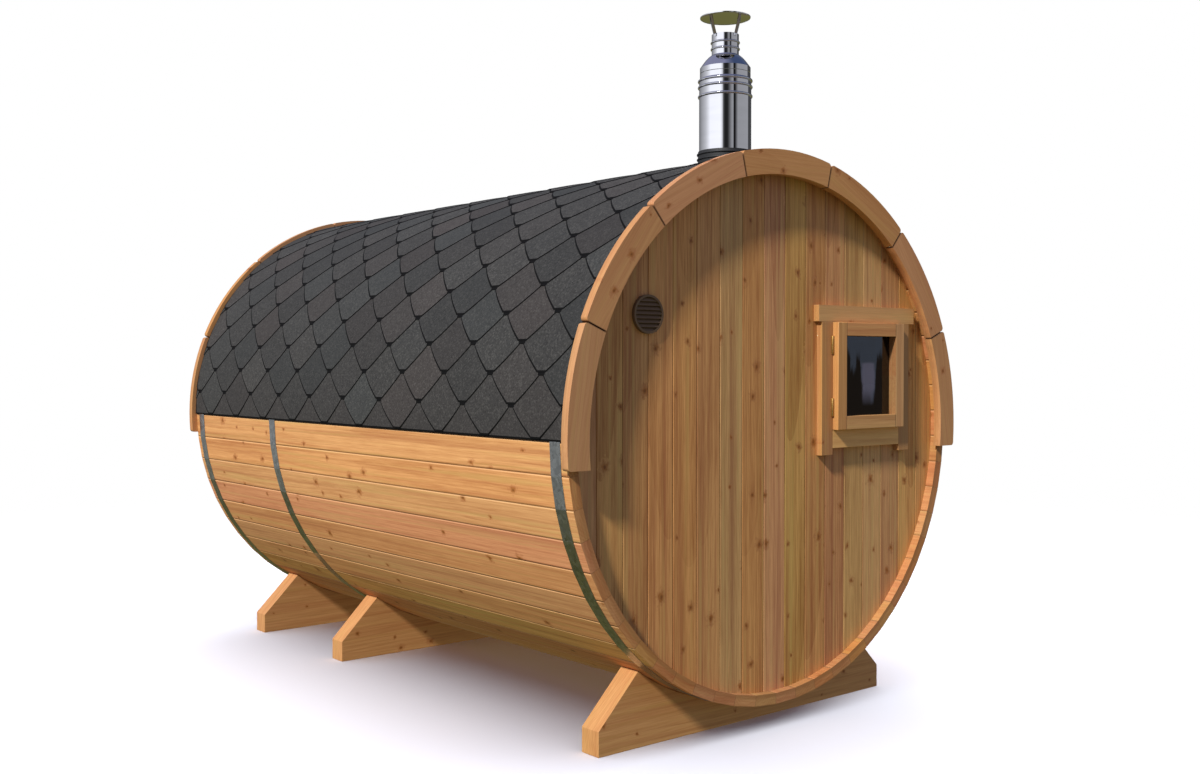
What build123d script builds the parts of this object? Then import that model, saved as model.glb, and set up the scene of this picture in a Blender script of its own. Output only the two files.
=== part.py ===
"""Barrel sauna: a coopered wooden barrel on three cradles.

Millimetres, +Z up. The origin is on the ground under the middle of the barrel.
The barrel lies along Y, with the window end at -Y and the door end at +Y.
"""
from build123d import *
import math
import os

os.makedirs("parts", exist_ok=True)

# Barrel of coopered staves
barrel_radius = 1050.0          # axis to the middle of a stave's outer face
stave_count = 57
stave_thickness = 42.0
stave_length = 3120.0
first_joint_angle = -9.38       # a stave joint, from +X towards +Z
stave_gap = 0.4                 # dry clearance between two staves
stave_arris = 2.2               # chamfer along the outer edges
tongue_thickness = 12.0
tongue_depth = 7.0
croze_depth = 9.0               # groove that holds an end wall
stave_group_count = 7
fit_gap = 0.3                   # clearance between seated pieces
overrun = 20.0                  # how far a cutting body passes the face it cuts

# Fascia rims
fascia_overhang = 28.0          # beyond the staves' outer faces
fascia_width = 95.0
fascia_thickness = 34.0
fascia_segment_angle = 27.16
fascia_segment_count = 7
fascia_joint_gap = 5.0
fascia_end_drop = 95.0          # level cut below the axis
fascia_corner_radius = 14.0

# Bands
band_width = 58.0
band_thickness = 1.5
near_band_inset = 67.0          # from the stave ends to the middle of the band
far_band_inset = 65.0
mid_band_share = 0.215          # of the staves' length, from the middle towards the door

# Roof covering
roof_thickness = 7.6
roof_rim_gap = 1.0              # between the covering's edge and a fascia rim

# Cradles
cradle_thickness = 95.0
cradle_reach_share = 0.7524     # half its length, to the barrel's radius
cradle_end_height = 94.0
cradle_under_barrel = 94.0      # timber under the lowest stave
cradle_shoulder_angle = 45.0
near_cradle_inset = 200.0       # from the stave ends to the middle of the cradle
far_cradle_inset = 188.0
mid_cradle_share = 0.1715       # of the staves' length, from the middle towards the door

# End walls of vertical boards
wall_recess = 35.0              # from the stave ends to the wall's outer face
wall_thickness = 44.0
wall_board_count = 17
board_gap = 0.4
board_arris = 2.5

# Window
window_corner_margin = 29.5     # from the header's outer corner to the staves
window_rise_share = 0.2103      # window's middle above the axis, to the inner radius
sash_width = 426.0
sash_height = 433.0
sash_member = 54.0
sash_thickness = 56.0
sash_gap = 1.5                  # between the sash and the casings
sash_edge_radius = 3.0
pane_thickness = 18.0
pane_rebate = 10.0
pane_setback = 24.0             # behind the sash's face
window_lining_thickness = 20.0
casing_width = 66.0
casing_thickness = 28.0
casing_tail = 28.0              # how far the side casings hang below the apron
apron_height = 72.0
window_header_height = 66.0
window_header_left_overhang = 20.0
window_header_right_overhang = 36.0
window_hinge_height = 72.0
window_hinge_width = 9.0
window_hinge_leaf = 2.5
window_hinge_knuckle = 5.0
window_hinge_drop = 55.0        # from the sash's ends to the hinges

# Vent grille
vent_angle = 146.77             # from +X towards +Z
vent_reach_share = 0.791        # distance from the axis, to the inner radius
vent_radius = 69.0
vent_depth = 14.0
vent_rim = 8.0
vent_louvre_count = 8
vent_louvre_tilt = 55.0
vent_louvre_thickness = 3.0
vent_hole_radius = 50.0

# Door end
door_width = 640.0
door_head_margin = 39.0         # from the casings' upper corners to the staves
door_sill_margin = 75.0         # from the casings' lower corners to the staves
door_leaf_thickness = 44.0
door_gap = 3.0
door_board_count = 6
door_lining_thickness = 24.0
door_casing_width = 70.0
door_casing_reveal = 12.0       # lining edge left bare beside the casing
door_casing_thickness = 22.0
door_ledge_height = 110.0
door_ledge_thickness = 22.0
door_ledge_share = 0.115        # from the leaf's ends, to its height
door_ledge_end = 40.0
door_hinge_height = 100.0
door_hinge_width = 30.0
door_hinge_leaf = 2.5
door_hinge_knuckle = 6.0
door_hinge_share = 0.141        # from the doorway's ends, to its height
door_handle_length = 300.0
door_handle_width = 30.0
door_handle_stand = 22.0
door_handle_grip = 20.0
door_handle_foot = 40.0
door_handle_edge = 70.0         # from the leaf's edge to the handle's middle
door_handle_share = 0.641       # above the sill, to the doorway's height

# Chimney
chimney_inset = 306.0           # from the stave ends at the window end
pipe_radius = 104.5
pipe_wall = 42.0                # double wall with insulation
pipe_foot = 40.0                # below the inner side of the top staves
pipe_hole_gap = 1.5
pipe_height = 386.0             # from the roof covering's crown to the shoulder
pipe_rib_radius = 5.5
pipe_rib_heights = (272.0, 309.0, 334.0)
pipe_upper_step = 3.0           # the pipe is narrower above its last rib
shoulder_height = 52.0
shoulder_shares = ((0.11, 0.14), (0.37, 0.42), (0.71, 0.69))   # inward and upward, foot to neck
neck_radius = 54.5
neck_wall = 3.0
neck_height = 82.0
neck_rib_radius = 4.5
neck_rib_heights = (24.0, 50.0)
cap_radius = 101.0
cap_stand = 68.0                # from the neck's mouth to the cap's rim
cap_rise = 24.0
cap_sheet = 2.5
cap_hem = 5.0
strut_count = 4
strut_width = 11.0
strut_sheet = 2.5
strut_lap = 12.0                # strut foot on the neck
strut_spread = 24.0
boot_wall = 4.5
boot_height = 52.0              # above the roof covering's crown
boot_bury = 24.0
boot_rib_radius = 4.5
boot_rib_heights = (20.0, 40.0)

# Places that follow from the sizes above
stave_half_angle = 180.0 / stave_count
barrel_corner_radius = barrel_radius / math.cos(math.radians(stave_half_angle))
axis_height = cradle_under_barrel + barrel_corner_radius + fit_gap
stave_inner_radius = barrel_radius - stave_thickness
stave_end = stave_length / 2
fascia_outer_radius = barrel_radius + fascia_overhang
fascia_inner_radius = fascia_outer_radius - fascia_width
rim_end = stave_end + fit_gap + fascia_thickness
near_band_y = near_band_inset - stave_end
mid_band_y = mid_band_share * stave_length
far_band_y = stave_end - far_band_inset
cradle_half_length = cradle_reach_share * barrel_radius
near_cradle_y = near_cradle_inset - stave_end
mid_cradle_y = mid_cradle_share * stave_length
far_cradle_y = stave_end - far_cradle_inset
chimney_y = chimney_inset - stave_end
wall_radius = stave_inner_radius + croze_depth - fit_gap
wall_face = stave_end - wall_recess
wall_back = wall_face - wall_thickness
band_apothem = barrel_radius + fit_gap
roof_inner_radius = (band_apothem + band_thickness) / math.cos(math.radians(stave_half_angle)) + fit_gap
roof_outer_radius = roof_inner_radius + roof_thickness
roof_crown = axis_height + roof_outer_radius
pipe_shoulder = roof_crown + pipe_height
neck_foot = pipe_shoulder + shoulder_height
neck_mouth = neck_foot + neck_height
barrel_axis = Axis((0, 0, axis_height), (0, -1, 0))


def end_plane(y):
    """Plane across the barrel at y, with local X to the right and local Y up from the axis."""
    return Plane(origin=(0, y, axis_height), x_dir=(1, 0, 0), z_dir=(0, -1, 0))


def slab(outline, y_low, y_high):
    """Sketch drawn across the barrel, pulled from y_high down to y_low."""
    return extrude(end_plane(y_high) * outline, amount=y_high - y_low)


def bar(x_low, x_high, y_low, y_high, z_low, z_high):
    """Square-edged bar between two corners, with z from the barrel axis."""
    width, depth, height = x_high - x_low, y_high - y_low, z_high - z_low
    place = Pos((x_low + x_high) / 2, (y_low + y_high) / 2, axis_height + (z_low + z_high) / 2)
    return place * Box(width, depth, height)


def drum(radius, y_low, y_high):
    """Solid cylinder on the barrel axis."""
    return slab(Circle(radius), y_low, y_high)


def post(radius, z_low, z_high):
    """Solid cylinder on the chimney axis, between two heights above the ground."""
    return Pos(0, chimney_y, (z_low + z_high) / 2) * Cylinder(radius, z_high - z_low)


def save(name, solids):
    """Write one node, a single solid or several that stay apart."""
    solids = list(solids)
    shape = solids[0] if len(solids) == 1 else Compound(children=solids)
    shape.label = name
    export_step(shape, f"parts/{name}.step")


def far_side(solid):
    """The same piece on the door end, turned half round the upright axis."""
    return solid.rotate(Axis.Z, 180)


# Staves

def joint_point(side, radius, reach):
    """Point on a stave's bevelled side, by distance from the axis and reach across the joint."""
    turn = math.radians(stave_half_angle)
    x = side * radius * math.sin(turn) + reach * math.cos(turn)
    y = radius * math.cos(turn) - side * reach * math.sin(turn)
    return (x, y)


def stave_outline():
    """Section of one stave standing at the top of the barrel, tongue to the right."""
    turn = math.radians(stave_half_angle)
    half = stave_gap / 2
    outer = (barrel_radius - half * math.sin(turn)) / math.cos(turn)
    inner = (stave_inner_radius - half * math.sin(turn)) / math.cos(turn)
    low = (outer + inner - tongue_thickness) / 2
    high = (outer + inner + tongue_thickness) / 2
    tip = tongue_depth - half
    root = tongue_depth + fit_gap
    right_corner = joint_point(1, outer, -half)
    left_corner = joint_point(-1, outer, half)
    return Polygon(
        joint_point(1, inner, -half),
        joint_point(1, low, -half),
        joint_point(1, low, tip),
        joint_point(1, high, tip),
        joint_point(1, high, -half),
        joint_point(1, outer - stave_arris, -half),
        (right_corner[0] - stave_arris, right_corner[1]),
        (left_corner[0] + stave_arris, left_corner[1]),
        joint_point(-1, outer - stave_arris, half),
        joint_point(-1, high + fit_gap, half),
        joint_point(-1, high + fit_gap, root),
        joint_point(-1, low - fit_gap, root),
        joint_point(-1, low - fit_gap, half),
        joint_point(-1, inner, half),
        align=None,
    )


def stave():
    """One full stave at the top of the barrel, with its two grooves for the end walls."""
    body = slab(stave_outline(), -stave_end, stave_end)
    half_width = barrel_radius * math.tan(math.radians(stave_half_angle)) + tongue_depth
    groove_top = stave_inner_radius + croze_depth
    groove_foot = stave_inner_radius - overrun
    for y_low in (wall_back - fit_gap, -wall_face - fit_gap):
        y_high = y_low + wall_thickness + 2 * fit_gap
        body -= bar(-half_width, half_width, y_low, y_high, groove_foot, groove_top)
    return body


stave_angle = 2 * stave_half_angle
pattern = stave()
flue_hole = post(pipe_radius + pipe_hole_gap, axis_height, roof_crown + overrun)
flue_reach = math.degrees(math.asin((pipe_radius + pipe_hole_gap) / stave_inner_radius))
staves = []
flue_staves = []
for number in range(stave_count):
    angle = first_joint_angle + (number + 0.5) * stave_angle
    piece = pattern.rotate(barrel_axis, angle - 90)
    if abs(angle - 90) < flue_reach + stave_half_angle:
        flue_staves.extend((piece - flue_hole).solids())
    else:
        staves.append(piece)

for group in range(stave_group_count):
    first = round(group * len(staves) / stave_group_count)
    last = round((group + 1) * len(staves) / stave_group_count)
    save(f"staves_{group + 1}", staves[first:last])
save("staves_at_flue", flue_staves)


# Fascia rims

def fascia_segment(start, end, level_end):
    """Flat arc segment between two angles. A level end is cut straight across below the axis."""
    ring = Circle(fascia_outer_radius) - Circle(fascia_inner_radius)
    reach = fascia_outer_radius + overrun
    middle = (start + end) / 2
    half = (end - start) / 2
    spread = reach / math.cos(math.radians(half))
    wedge = Polygon(
        (0, 0),
        (spread * math.cos(math.radians(start)), spread * math.sin(math.radians(start))),
        (spread * math.cos(math.radians(middle)), spread * math.sin(math.radians(middle))),
        (spread * math.cos(math.radians(end)), spread * math.sin(math.radians(end))),
        align=None,
    )
    outline = ring & wedge
    if level_end:
        floor = Pos(0, -fascia_end_drop - reach) * Rectangle(2 * reach, 2 * reach)
        outline -= floor
    outline = outline.face()
    rim = [v for v in outline.vertices() if math.hypot(v.X, v.Y) > fascia_outer_radius - fascia_joint_gap]
    rounded = fillet(rim, fascia_corner_radius)
    return slab(rounded, -rim_end, -stave_end - fit_gap)


half_joint = math.degrees(fascia_joint_gap / 2 / fascia_outer_radius)
fascia_start = 90 - fascia_segment_count * fascia_segment_angle / 2
fascia_low_angle = math.degrees(math.asin(fascia_end_drop / fascia_inner_radius))
fascia = []
for number in range(fascia_segment_count):
    start = fascia_start + number * fascia_segment_angle + half_joint
    end = fascia_start + (number + 1) * fascia_segment_angle - half_joint
    first, last = number == 0, number == fascia_segment_count - 1
    start = -2 * fascia_low_angle if first else start
    end = 180 + 2 * fascia_low_angle if last else end
    fascia.append(fascia_segment(start, end, first or last))
save("window_end_fascia", fascia)
save("door_end_fascia", [far_side(segment) for segment in fascia])


# Bands, which follow the flats of the staves

def band(y):
    """Sheet band round all the staves."""
    turn = first_joint_angle
    outside = RegularPolygon(band_apothem + band_thickness, stave_count, major_radius=False)
    inside = RegularPolygon(band_apothem, stave_count, major_radius=False)
    ring = Rot(0, 0, turn) * (outside - inside)
    return slab(ring, y - band_width / 2, y + band_width / 2)


save("window_end_band", [band(near_band_y)])
save("middle_band", [band(mid_band_y)])
save("door_end_band", [band(far_band_y)])


# Roof covering over the upper half, in two slopes that meet at the crown

def roof_slope(side):
    """Quarter shell from the axis height to the crown."""
    ring = Circle(roof_outer_radius) - Circle(roof_inner_radius)
    size = roof_outer_radius + overrun
    quarter = Pos(side * (size + board_gap) / 2, size / 2) * Rectangle(size, size)
    reach = stave_end + fit_gap - roof_rim_gap
    return slab(ring & quarter, -reach, reach) - flue_hole


save("roof_left_slope", roof_slope(-1).solids())
save("roof_right_slope", roof_slope(1).solids())


# Cradles

def cradle(y):
    """Saddle plank with sloped shoulders and a seat hollowed to the barrel."""
    foot = -axis_height
    end_top = foot + cradle_end_height
    rise = cradle_half_length * math.tan(math.radians(cradle_shoulder_angle))
    outline = Polygon(
        (-cradle_half_length, foot),
        (cradle_half_length, foot),
        (cradle_half_length, end_top),
        (0, end_top + rise),
        (-cradle_half_length, end_top),
        align=None,
    )
    seat = Circle(barrel_corner_radius + fit_gap)
    block = slab(outline - seat, y - cradle_thickness / 2, y + cradle_thickness / 2)
    return block.solids().sort_by(Axis.Z)[0]


save("window_end_cradle", [cradle(near_cradle_y)])
save("middle_cradle", [cradle(mid_cradle_y)])
save("door_end_cradle", [cradle(far_cradle_y)])


# End walls

board_pitch = 2 * wall_radius / wall_board_count


def wall_boards():
    """Vertical boards of an end wall at the window end, left to right, with eased edges outside."""
    disc = drum(wall_radius, -wall_face, -wall_back)
    boards = []
    for number in range(wall_board_count):
        left = -wall_radius + number * board_pitch + board_gap / 2
        right = left + board_pitch - board_gap
        outline = Polygon(
            (left, -wall_back),
            (left, -wall_face + board_arris),
            (left + board_arris, -wall_face),
            (right - board_arris, -wall_face),
            (right, -wall_face + board_arris),
            (right, -wall_back),
            align=None,
        )
        plank = Pos(0, 0, axis_height - wall_radius) * extrude(outline, amount=2 * wall_radius)
        boards.append(plank & disc)
    return boards


window_centre_z = window_rise_share * stave_inner_radius
header_top = window_centre_z + sash_height / 2 + sash_gap + window_header_height
header_end = math.sqrt((stave_inner_radius - window_corner_margin) ** 2 - header_top**2)
window_centre_x = header_end - window_header_right_overhang - casing_width - sash_gap - sash_width / 2
vent_x = vent_reach_share * stave_inner_radius * math.cos(math.radians(vent_angle))
vent_z = vent_reach_share * stave_inner_radius * math.sin(math.radians(vent_angle))
window_left = window_centre_x - sash_width / 2
window_right = window_centre_x + sash_width / 2
window_low = window_centre_z - sash_height / 2
window_high = window_centre_z + sash_height / 2
inner_edge = sash_member - pane_rebate
window_hole = bar(
    window_left + inner_edge - window_lining_thickness,
    window_right - inner_edge + window_lining_thickness,
    -wall_face - overrun,
    -wall_back + overrun,
    window_low + inner_edge - window_lining_thickness,
    window_high - inner_edge + window_lining_thickness,
)
vent_hole = Pos(vent_x, 0, vent_z) * slab(Circle(vent_hole_radius), -wall_face - overrun, -wall_back + overrun)
window_wall = []
for plank in wall_boards():
    cut = plank - window_hole - vent_hole
    window_wall.extend(cut.solids())
left_boards = [solid for solid in window_wall if solid.center().X < window_left - casing_width / 2]
right_boards = [solid for solid in window_wall if solid not in left_boards]
save("window_end_wall_left", left_boards)
save("window_end_wall_right", right_boards)

door_half = door_width / 2
door_surround = door_casing_reveal + door_casing_width
casing_outer = door_half + door_surround
door_high = math.sqrt((stave_inner_radius - door_head_margin) ** 2 - casing_outer**2) - door_surround
door_low = door_surround - math.sqrt((stave_inner_radius - door_sill_margin) ** 2 - casing_outer**2)
door_height = door_high - door_low
door_hole = bar(
    -door_half - door_lining_thickness,
    door_half + door_lining_thickness,
    -wall_face - overrun,
    -wall_back + overrun,
    door_low - door_lining_thickness,
    door_high + door_lining_thickness,
)
door_wall = []
for plank in wall_boards():
    door_wall.extend((plank - door_hole).solids())
door_left = [far_side(solid) for solid in door_wall if solid.center().X < -door_half]
door_right = [far_side(solid) for solid in door_wall if solid.center().X > door_half]
door_middle = [far_side(solid) for solid in door_wall if abs(solid.center().X) <= door_half]
save("door_end_wall_left", door_left)
save("door_end_wall_right", door_right)
save("door_end_wall_middle", door_middle)


# Window

def ring_of_bars(left, right, low, high, member, y_low, y_high):
    """Rectangular frame, outer edges given, with members of one width."""
    outer = bar(left, right, y_low, y_high, low, high)
    hole = bar(left + member, right - member, y_low - overrun, y_high + overrun, low + member, high - member)
    return outer - hole


casing_back = -wall_face - fit_gap
casing_face = casing_back - casing_thickness
casing_left = window_left - sash_gap
casing_right = window_right + sash_gap
apron_top = window_low - sash_gap
apron_low = apron_top - apron_height
header_low = window_high + sash_gap
header_left = casing_left - casing_width - window_header_left_overhang
header_right = casing_right + casing_width + window_header_right_overhang
casing_low = apron_low - casing_tail
casing_top = header_low - fit_gap
header = bar(header_left, header_right, casing_face, casing_back, header_low, header_low + window_header_height)
left_casing = bar(casing_left - casing_width, casing_left, casing_face, casing_back, casing_low, casing_top)
right_casing = bar(casing_right, casing_right + casing_width, casing_face, casing_back, casing_low, casing_top)
apron_left = casing_left + fit_gap
apron_right = casing_right - fit_gap
apron = bar(apron_left, apron_right, casing_face, casing_back, apron_low, apron_top)
save("window_header", [header])
save("window_side_casings", [left_casing, right_casing])
save("window_apron", [apron])

lining_left = window_left + inner_edge - window_lining_thickness + fit_gap
lining_right = window_right - inner_edge + window_lining_thickness - fit_gap
lining_low = window_low + inner_edge - window_lining_thickness + fit_gap
lining_high = window_high - inner_edge + window_lining_thickness - fit_gap
window_lining = ring_of_bars(
    lining_left,
    lining_right,
    lining_low,
    lining_high,
    window_lining_thickness - fit_gap,
    -wall_face,
    -wall_back,
)
save("window_lining", [window_lining])

sash_back = casing_back
sash_face = sash_back - sash_thickness
sash = ring_of_bars(window_left, window_right, window_low, window_high, sash_member, sash_face, sash_back)
pane_face = sash_face + pane_setback
rebate_edge = sash_member - pane_rebate
sash -= bar(
    window_left + rebate_edge,
    window_right - rebate_edge,
    pane_face,
    sash_back + overrun,
    window_low + rebate_edge,
    window_high - rebate_edge,
)
front_edges = sash.faces().sort_by(Axis.Y)[0].outer_wire().edges()
sash = fillet(front_edges, sash_edge_radius)
save("window_sash", sash.solids())
pane = bar(
    window_left + rebate_edge + fit_gap,
    window_right - rebate_edge - fit_gap,
    pane_face + fit_gap,
    pane_face + fit_gap + pane_thickness,
    window_low + rebate_edge + fit_gap,
    window_high - rebate_edge - fit_gap,
)
save("window_pane", [pane])


def butt_hinge(x, z, face, height, left_width, right_width, leaf, knuckle):
    """Flat leaves to the left and right of a knuckle, on a face that looks towards -Y."""
    plate = bar(x - left_width, x + right_width, face - leaf, face, z - height / 2, z + height / 2)
    pin = Pos(x, face - leaf, axis_height + z) * Cylinder(knuckle, height)
    behind = bar(x - overrun, x + overrun, face, face + overrun, z - height, z + height)
    return (plate + pin) - behind


window_hinges = [
    butt_hinge(
        window_left - fit_gap - window_hinge_knuckle,
        z,
        casing_face - fit_gap,
        window_hinge_height,
        window_hinge_width,
        0,
        window_hinge_leaf,
        window_hinge_knuckle,
    )
    for z in (
        window_low + window_hinge_drop + window_hinge_height / 2,
        window_high - window_hinge_drop - window_hinge_height / 2,
    )
]
save("window_hinges", window_hinges)


# Vent grille

def vent_grille():
    """Round rim with tilted louvres across it, made about its own middle."""
    ring = Circle(vent_radius) - Circle(vent_radius - vent_rim)
    rim = Pos(0, vent_depth / 2, 0) * extrude(Plane.XZ * ring, amount=vent_depth)
    opening = 2 * (vent_radius - vent_rim)
    pitch = opening / vent_louvre_count
    lean = math.radians(vent_louvre_tilt)
    louvre_depth = (vent_depth - vent_louvre_thickness * math.sin(lean)) / math.cos(lean)
    louvres = []
    for number in range(vent_louvre_count):
        z = -opening / 2 + (number + 0.5) * pitch
        reach = math.sqrt((vent_radius - vent_rim / 2) ** 2 - z**2)
        blade = Box(2 * reach, louvre_depth, vent_louvre_thickness)
        louvres.append(Pos(0, 0, z) * Rot(vent_louvre_tilt, 0, 0) * blade)
    grille = rim
    for blade in louvres:
        grille += blade
    back = -wall_face - fit_gap
    return Pos(vent_x, back - vent_depth / 2, axis_height + vent_z) * grille


save("vent_grille", vent_grille().solids())


# Door at the far end, drawn at the window end and turned round

door_face = -wall_face - fit_gap
door_casing_front = door_face - door_casing_thickness
door_outer = door_half + door_lining_thickness
door_lining_parts = [
    bar(-door_outer + fit_gap, -door_half, -wall_face, -wall_back, door_low, door_high),
    bar(door_half, door_outer - fit_gap, -wall_face, -wall_back, door_low, door_high),
    bar(-door_outer + fit_gap, door_outer - fit_gap, -wall_face, -wall_back, door_high + fit_gap,
        door_high + door_lining_thickness - fit_gap),
    bar(-door_outer + fit_gap, door_outer - fit_gap, -wall_face, -wall_back,
        door_low - door_lining_thickness + fit_gap, door_low - fit_gap),
]
save("door_lining", [far_side(solid) for solid in door_lining_parts])

door_reveal = door_half + door_casing_reveal
reveal_low = door_low - door_casing_reveal
reveal_high = door_high + door_casing_reveal
door_casing_parts = [
    bar(-casing_outer, -door_reveal, door_casing_front, door_face, reveal_low, reveal_high),
    bar(door_reveal, casing_outer, door_casing_front, door_face, reveal_low, reveal_high),
    bar(-casing_outer, casing_outer, door_casing_front, door_face, reveal_high + fit_gap,
        reveal_high + door_casing_width),
    bar(-casing_outer, casing_outer, door_casing_front, door_face, reveal_low - door_casing_width,
        reveal_low - fit_gap),
]
save("door_casings", [far_side(solid) for solid in door_casing_parts])

leaf_front = -wall_face
leaf_back = leaf_front + door_leaf_thickness
leaf_low = door_low + door_gap
leaf_high = door_high - door_gap
leaf_pitch = (door_width - 2 * door_gap) / door_board_count
leaf_boards = []
for number in range(door_board_count):
    left = -door_half + door_gap + number * leaf_pitch + board_gap / 2
    right = left + leaf_pitch - board_gap
    outline = Polygon(
        (left, leaf_back),
        (left, leaf_front + board_arris),
        (left + board_arris, leaf_front),
        (right - board_arris, leaf_front),
        (right, leaf_front + board_arris),
        (right, leaf_back),
        align=None,
    )
    plank = Pos(0, 0, axis_height + leaf_low) * extrude(outline, amount=leaf_high - leaf_low)
    leaf_boards.append(far_side(plank))
save("door_leaf_boards", leaf_boards)

ledge_half = door_half - door_gap - door_ledge_end
ledge_front = leaf_back + fit_gap
ledges = []
door_ledge_inset = door_ledge_share * (leaf_high - leaf_low)
for z in (leaf_low + door_ledge_inset, leaf_high - door_ledge_inset):
    ledge = bar(-ledge_half, ledge_half, ledge_front, ledge_front + door_ledge_thickness,
                z - door_ledge_height / 2, z + door_ledge_height / 2)
    ledges.append(far_side(ledge))
save("door_ledges", ledges)

door_hinge_inset = door_hinge_share * door_height
door_hinges = [
    far_side(
        butt_hinge(
            -door_half + door_gap / 2,
            z,
            door_face,
            door_hinge_height,
            door_casing_reveal,
            door_hinge_width,
            door_hinge_leaf,
            door_hinge_knuckle,
        )
    )
    for z in (door_low + door_hinge_inset, door_high - door_hinge_inset)
]
save("door_hinges", door_hinges)


def pull_handle(face, outward):
    """Upright wooden grip on two feet, standing off a face. Outward is -1 or 1 along Y."""
    x = door_half - door_gap - door_handle_edge
    z = door_low + door_handle_share * door_height
    half_width = door_handle_width / 2
    stand = sorted((face, face + outward * door_handle_stand))
    grip = sorted((stand[0] if outward < 0 else stand[1],
                   (stand[0] if outward < 0 else stand[1]) + outward * door_handle_grip))
    low, high = z - door_handle_length / 2, z + door_handle_length / 2
    handle = bar(x - half_width, x + half_width, grip[0], grip[1], low, high)
    for foot in (low, high - door_handle_foot):
        handle += bar(x - half_width, x + half_width, stand[0], stand[1], foot, foot + door_handle_foot)
    return handle


handles = [pull_handle(leaf_front - fit_gap, -1), pull_handle(leaf_back + fit_gap, 1)]
save("door_handles", [far_side(solid) for handle in handles for solid in handle.solids()])


# Chimney

def turned(outline):
    """Upright solid of revolution on the chimney axis. Outline points are radius and height."""
    profile = Plane(origin=(0, chimney_y, 0), x_dir=(1, 0, 0), z_dir=(0, -1, 0)) * outline
    return revolve(profile, Axis((0, chimney_y, 0), (0, 0, 1)), 360)


def bead(radius, height, size):
    """Outline points of a rolled rib on a pipe, from its foot to its top."""
    return [(radius, height - size), (radius + size, height), (radius, height + size)]


def beads(radius, foot, heights, size):
    """Outline points of several ribs, lowest first."""
    points = []
    for height in sorted(heights):
        points.extend(bead(radius, foot + height, size))
    return points


pipe_low = axis_height + stave_inner_radius - pipe_foot
flue_radius = pipe_radius - pipe_wall
last_rib = roof_crown + max(pipe_rib_heights) + pipe_rib_radius
pipe = turned(Polygon(
    (flue_radius, pipe_low),
    (pipe_radius, pipe_low),
    *beads(pipe_radius, roof_crown, pipe_rib_heights, pipe_rib_radius),
    (pipe_radius - pipe_upper_step, last_rib + pipe_upper_step),
    (pipe_radius - pipe_upper_step, pipe_shoulder),
    (flue_radius, pipe_shoulder),
    align=None,
))
save("chimney_pipe", pipe.solids())

shoulder_foot = pipe_shoulder + fit_gap
shoulder_radius = pipe_radius - pipe_upper_step
shoulder_run = shoulder_radius - neck_radius
shoulder_points = [
    (shoulder_radius - inward * shoulder_run, shoulder_foot + upward * shoulder_height)
    for inward, upward in shoulder_shares
]
neck_outline = Polygon(
    (neck_radius - neck_wall, shoulder_foot),
    (shoulder_radius, shoulder_foot),
    *shoulder_points,
    (neck_radius, neck_foot),
    *beads(neck_radius, neck_foot, neck_rib_heights, neck_rib_radius),
    (neck_radius, neck_mouth),
    (neck_radius - neck_wall, neck_mouth),
    align=None,
)
save("chimney_neck", turned(neck_outline).solids())

cap_rim = neck_mouth + cap_stand
cap = turned(Polygon(
    (0, cap_rim + cap_rise),
    (0, cap_rim + cap_rise - cap_sheet),
    (cap_radius - cap_sheet, cap_rim),
    (cap_radius - cap_sheet, cap_rim - cap_hem),
    (cap_radius, cap_rim - cap_hem),
    (cap_radius, cap_rim + cap_sheet),
    align=None,
))


def cap_underside(radius):
    """Height of the cap's underside at a distance from the chimney axis."""
    return cap_rim + (cap_rise - cap_sheet) * (1 - radius / (cap_radius - cap_sheet))


def strut():
    """Bent strip from the neck's side up to the underside of the cap."""
    foot = neck_radius + fit_gap
    head = foot + strut_spread
    inner_top = cap_underside(math.hypot(head, strut_width / 2)) - fit_gap
    outer_top = cap_underside(math.hypot(head + strut_sheet, strut_width / 2)) - fit_gap
    outline = Polygon(
        (foot, neck_mouth - strut_lap),
        (foot + strut_sheet, neck_mouth - strut_lap),
        (foot + strut_sheet, neck_mouth),
        (head + strut_sheet, outer_top),
        (head, inner_top),
        (foot, neck_mouth),
        align=None,
    )
    profile = Plane(origin=(0, chimney_y + strut_width / 2, 0), x_dir=(1, 0, 0), z_dir=(0, -1, 0)) * outline
    return extrude(profile, amount=strut_width)


chimney_axis = Axis((0, chimney_y, 0), (0, 0, 1))
struts = [strut().rotate(chimney_axis, number * 360 / strut_count) for number in range(strut_count)]
save("chimney_cap", [cap, *struts])

boot_inner = pipe_radius + fit_gap
boot_outer = boot_inner + boot_wall
boot_top = roof_crown + boot_height
boot = turned(Polygon(
    (boot_inner, roof_crown - boot_bury),
    (boot_outer, roof_crown - boot_bury),
    *beads(boot_outer, roof_crown, boot_rib_heights, boot_rib_radius),
    (boot_outer, boot_top),
    (boot_inner, boot_top),
    align=None,
))
boot -= drum(roof_outer_radius + fit_gap, -rim_end, rim_end)
save("chimney_boot", boot.solids())
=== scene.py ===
"""Barrel sauna: the looks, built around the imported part.

Metres, +Z up, in the part's own frame. The barrel lies along Y, with the
window end at -Y and the door end at +Y.
"""
import logging
import math
import random
from dataclasses import dataclass, field
from enum import Enum
from typing import Iterable, Optional, Sequence, Union

import bmesh
import bpy
from mathutils import Matrix, Vector


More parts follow.
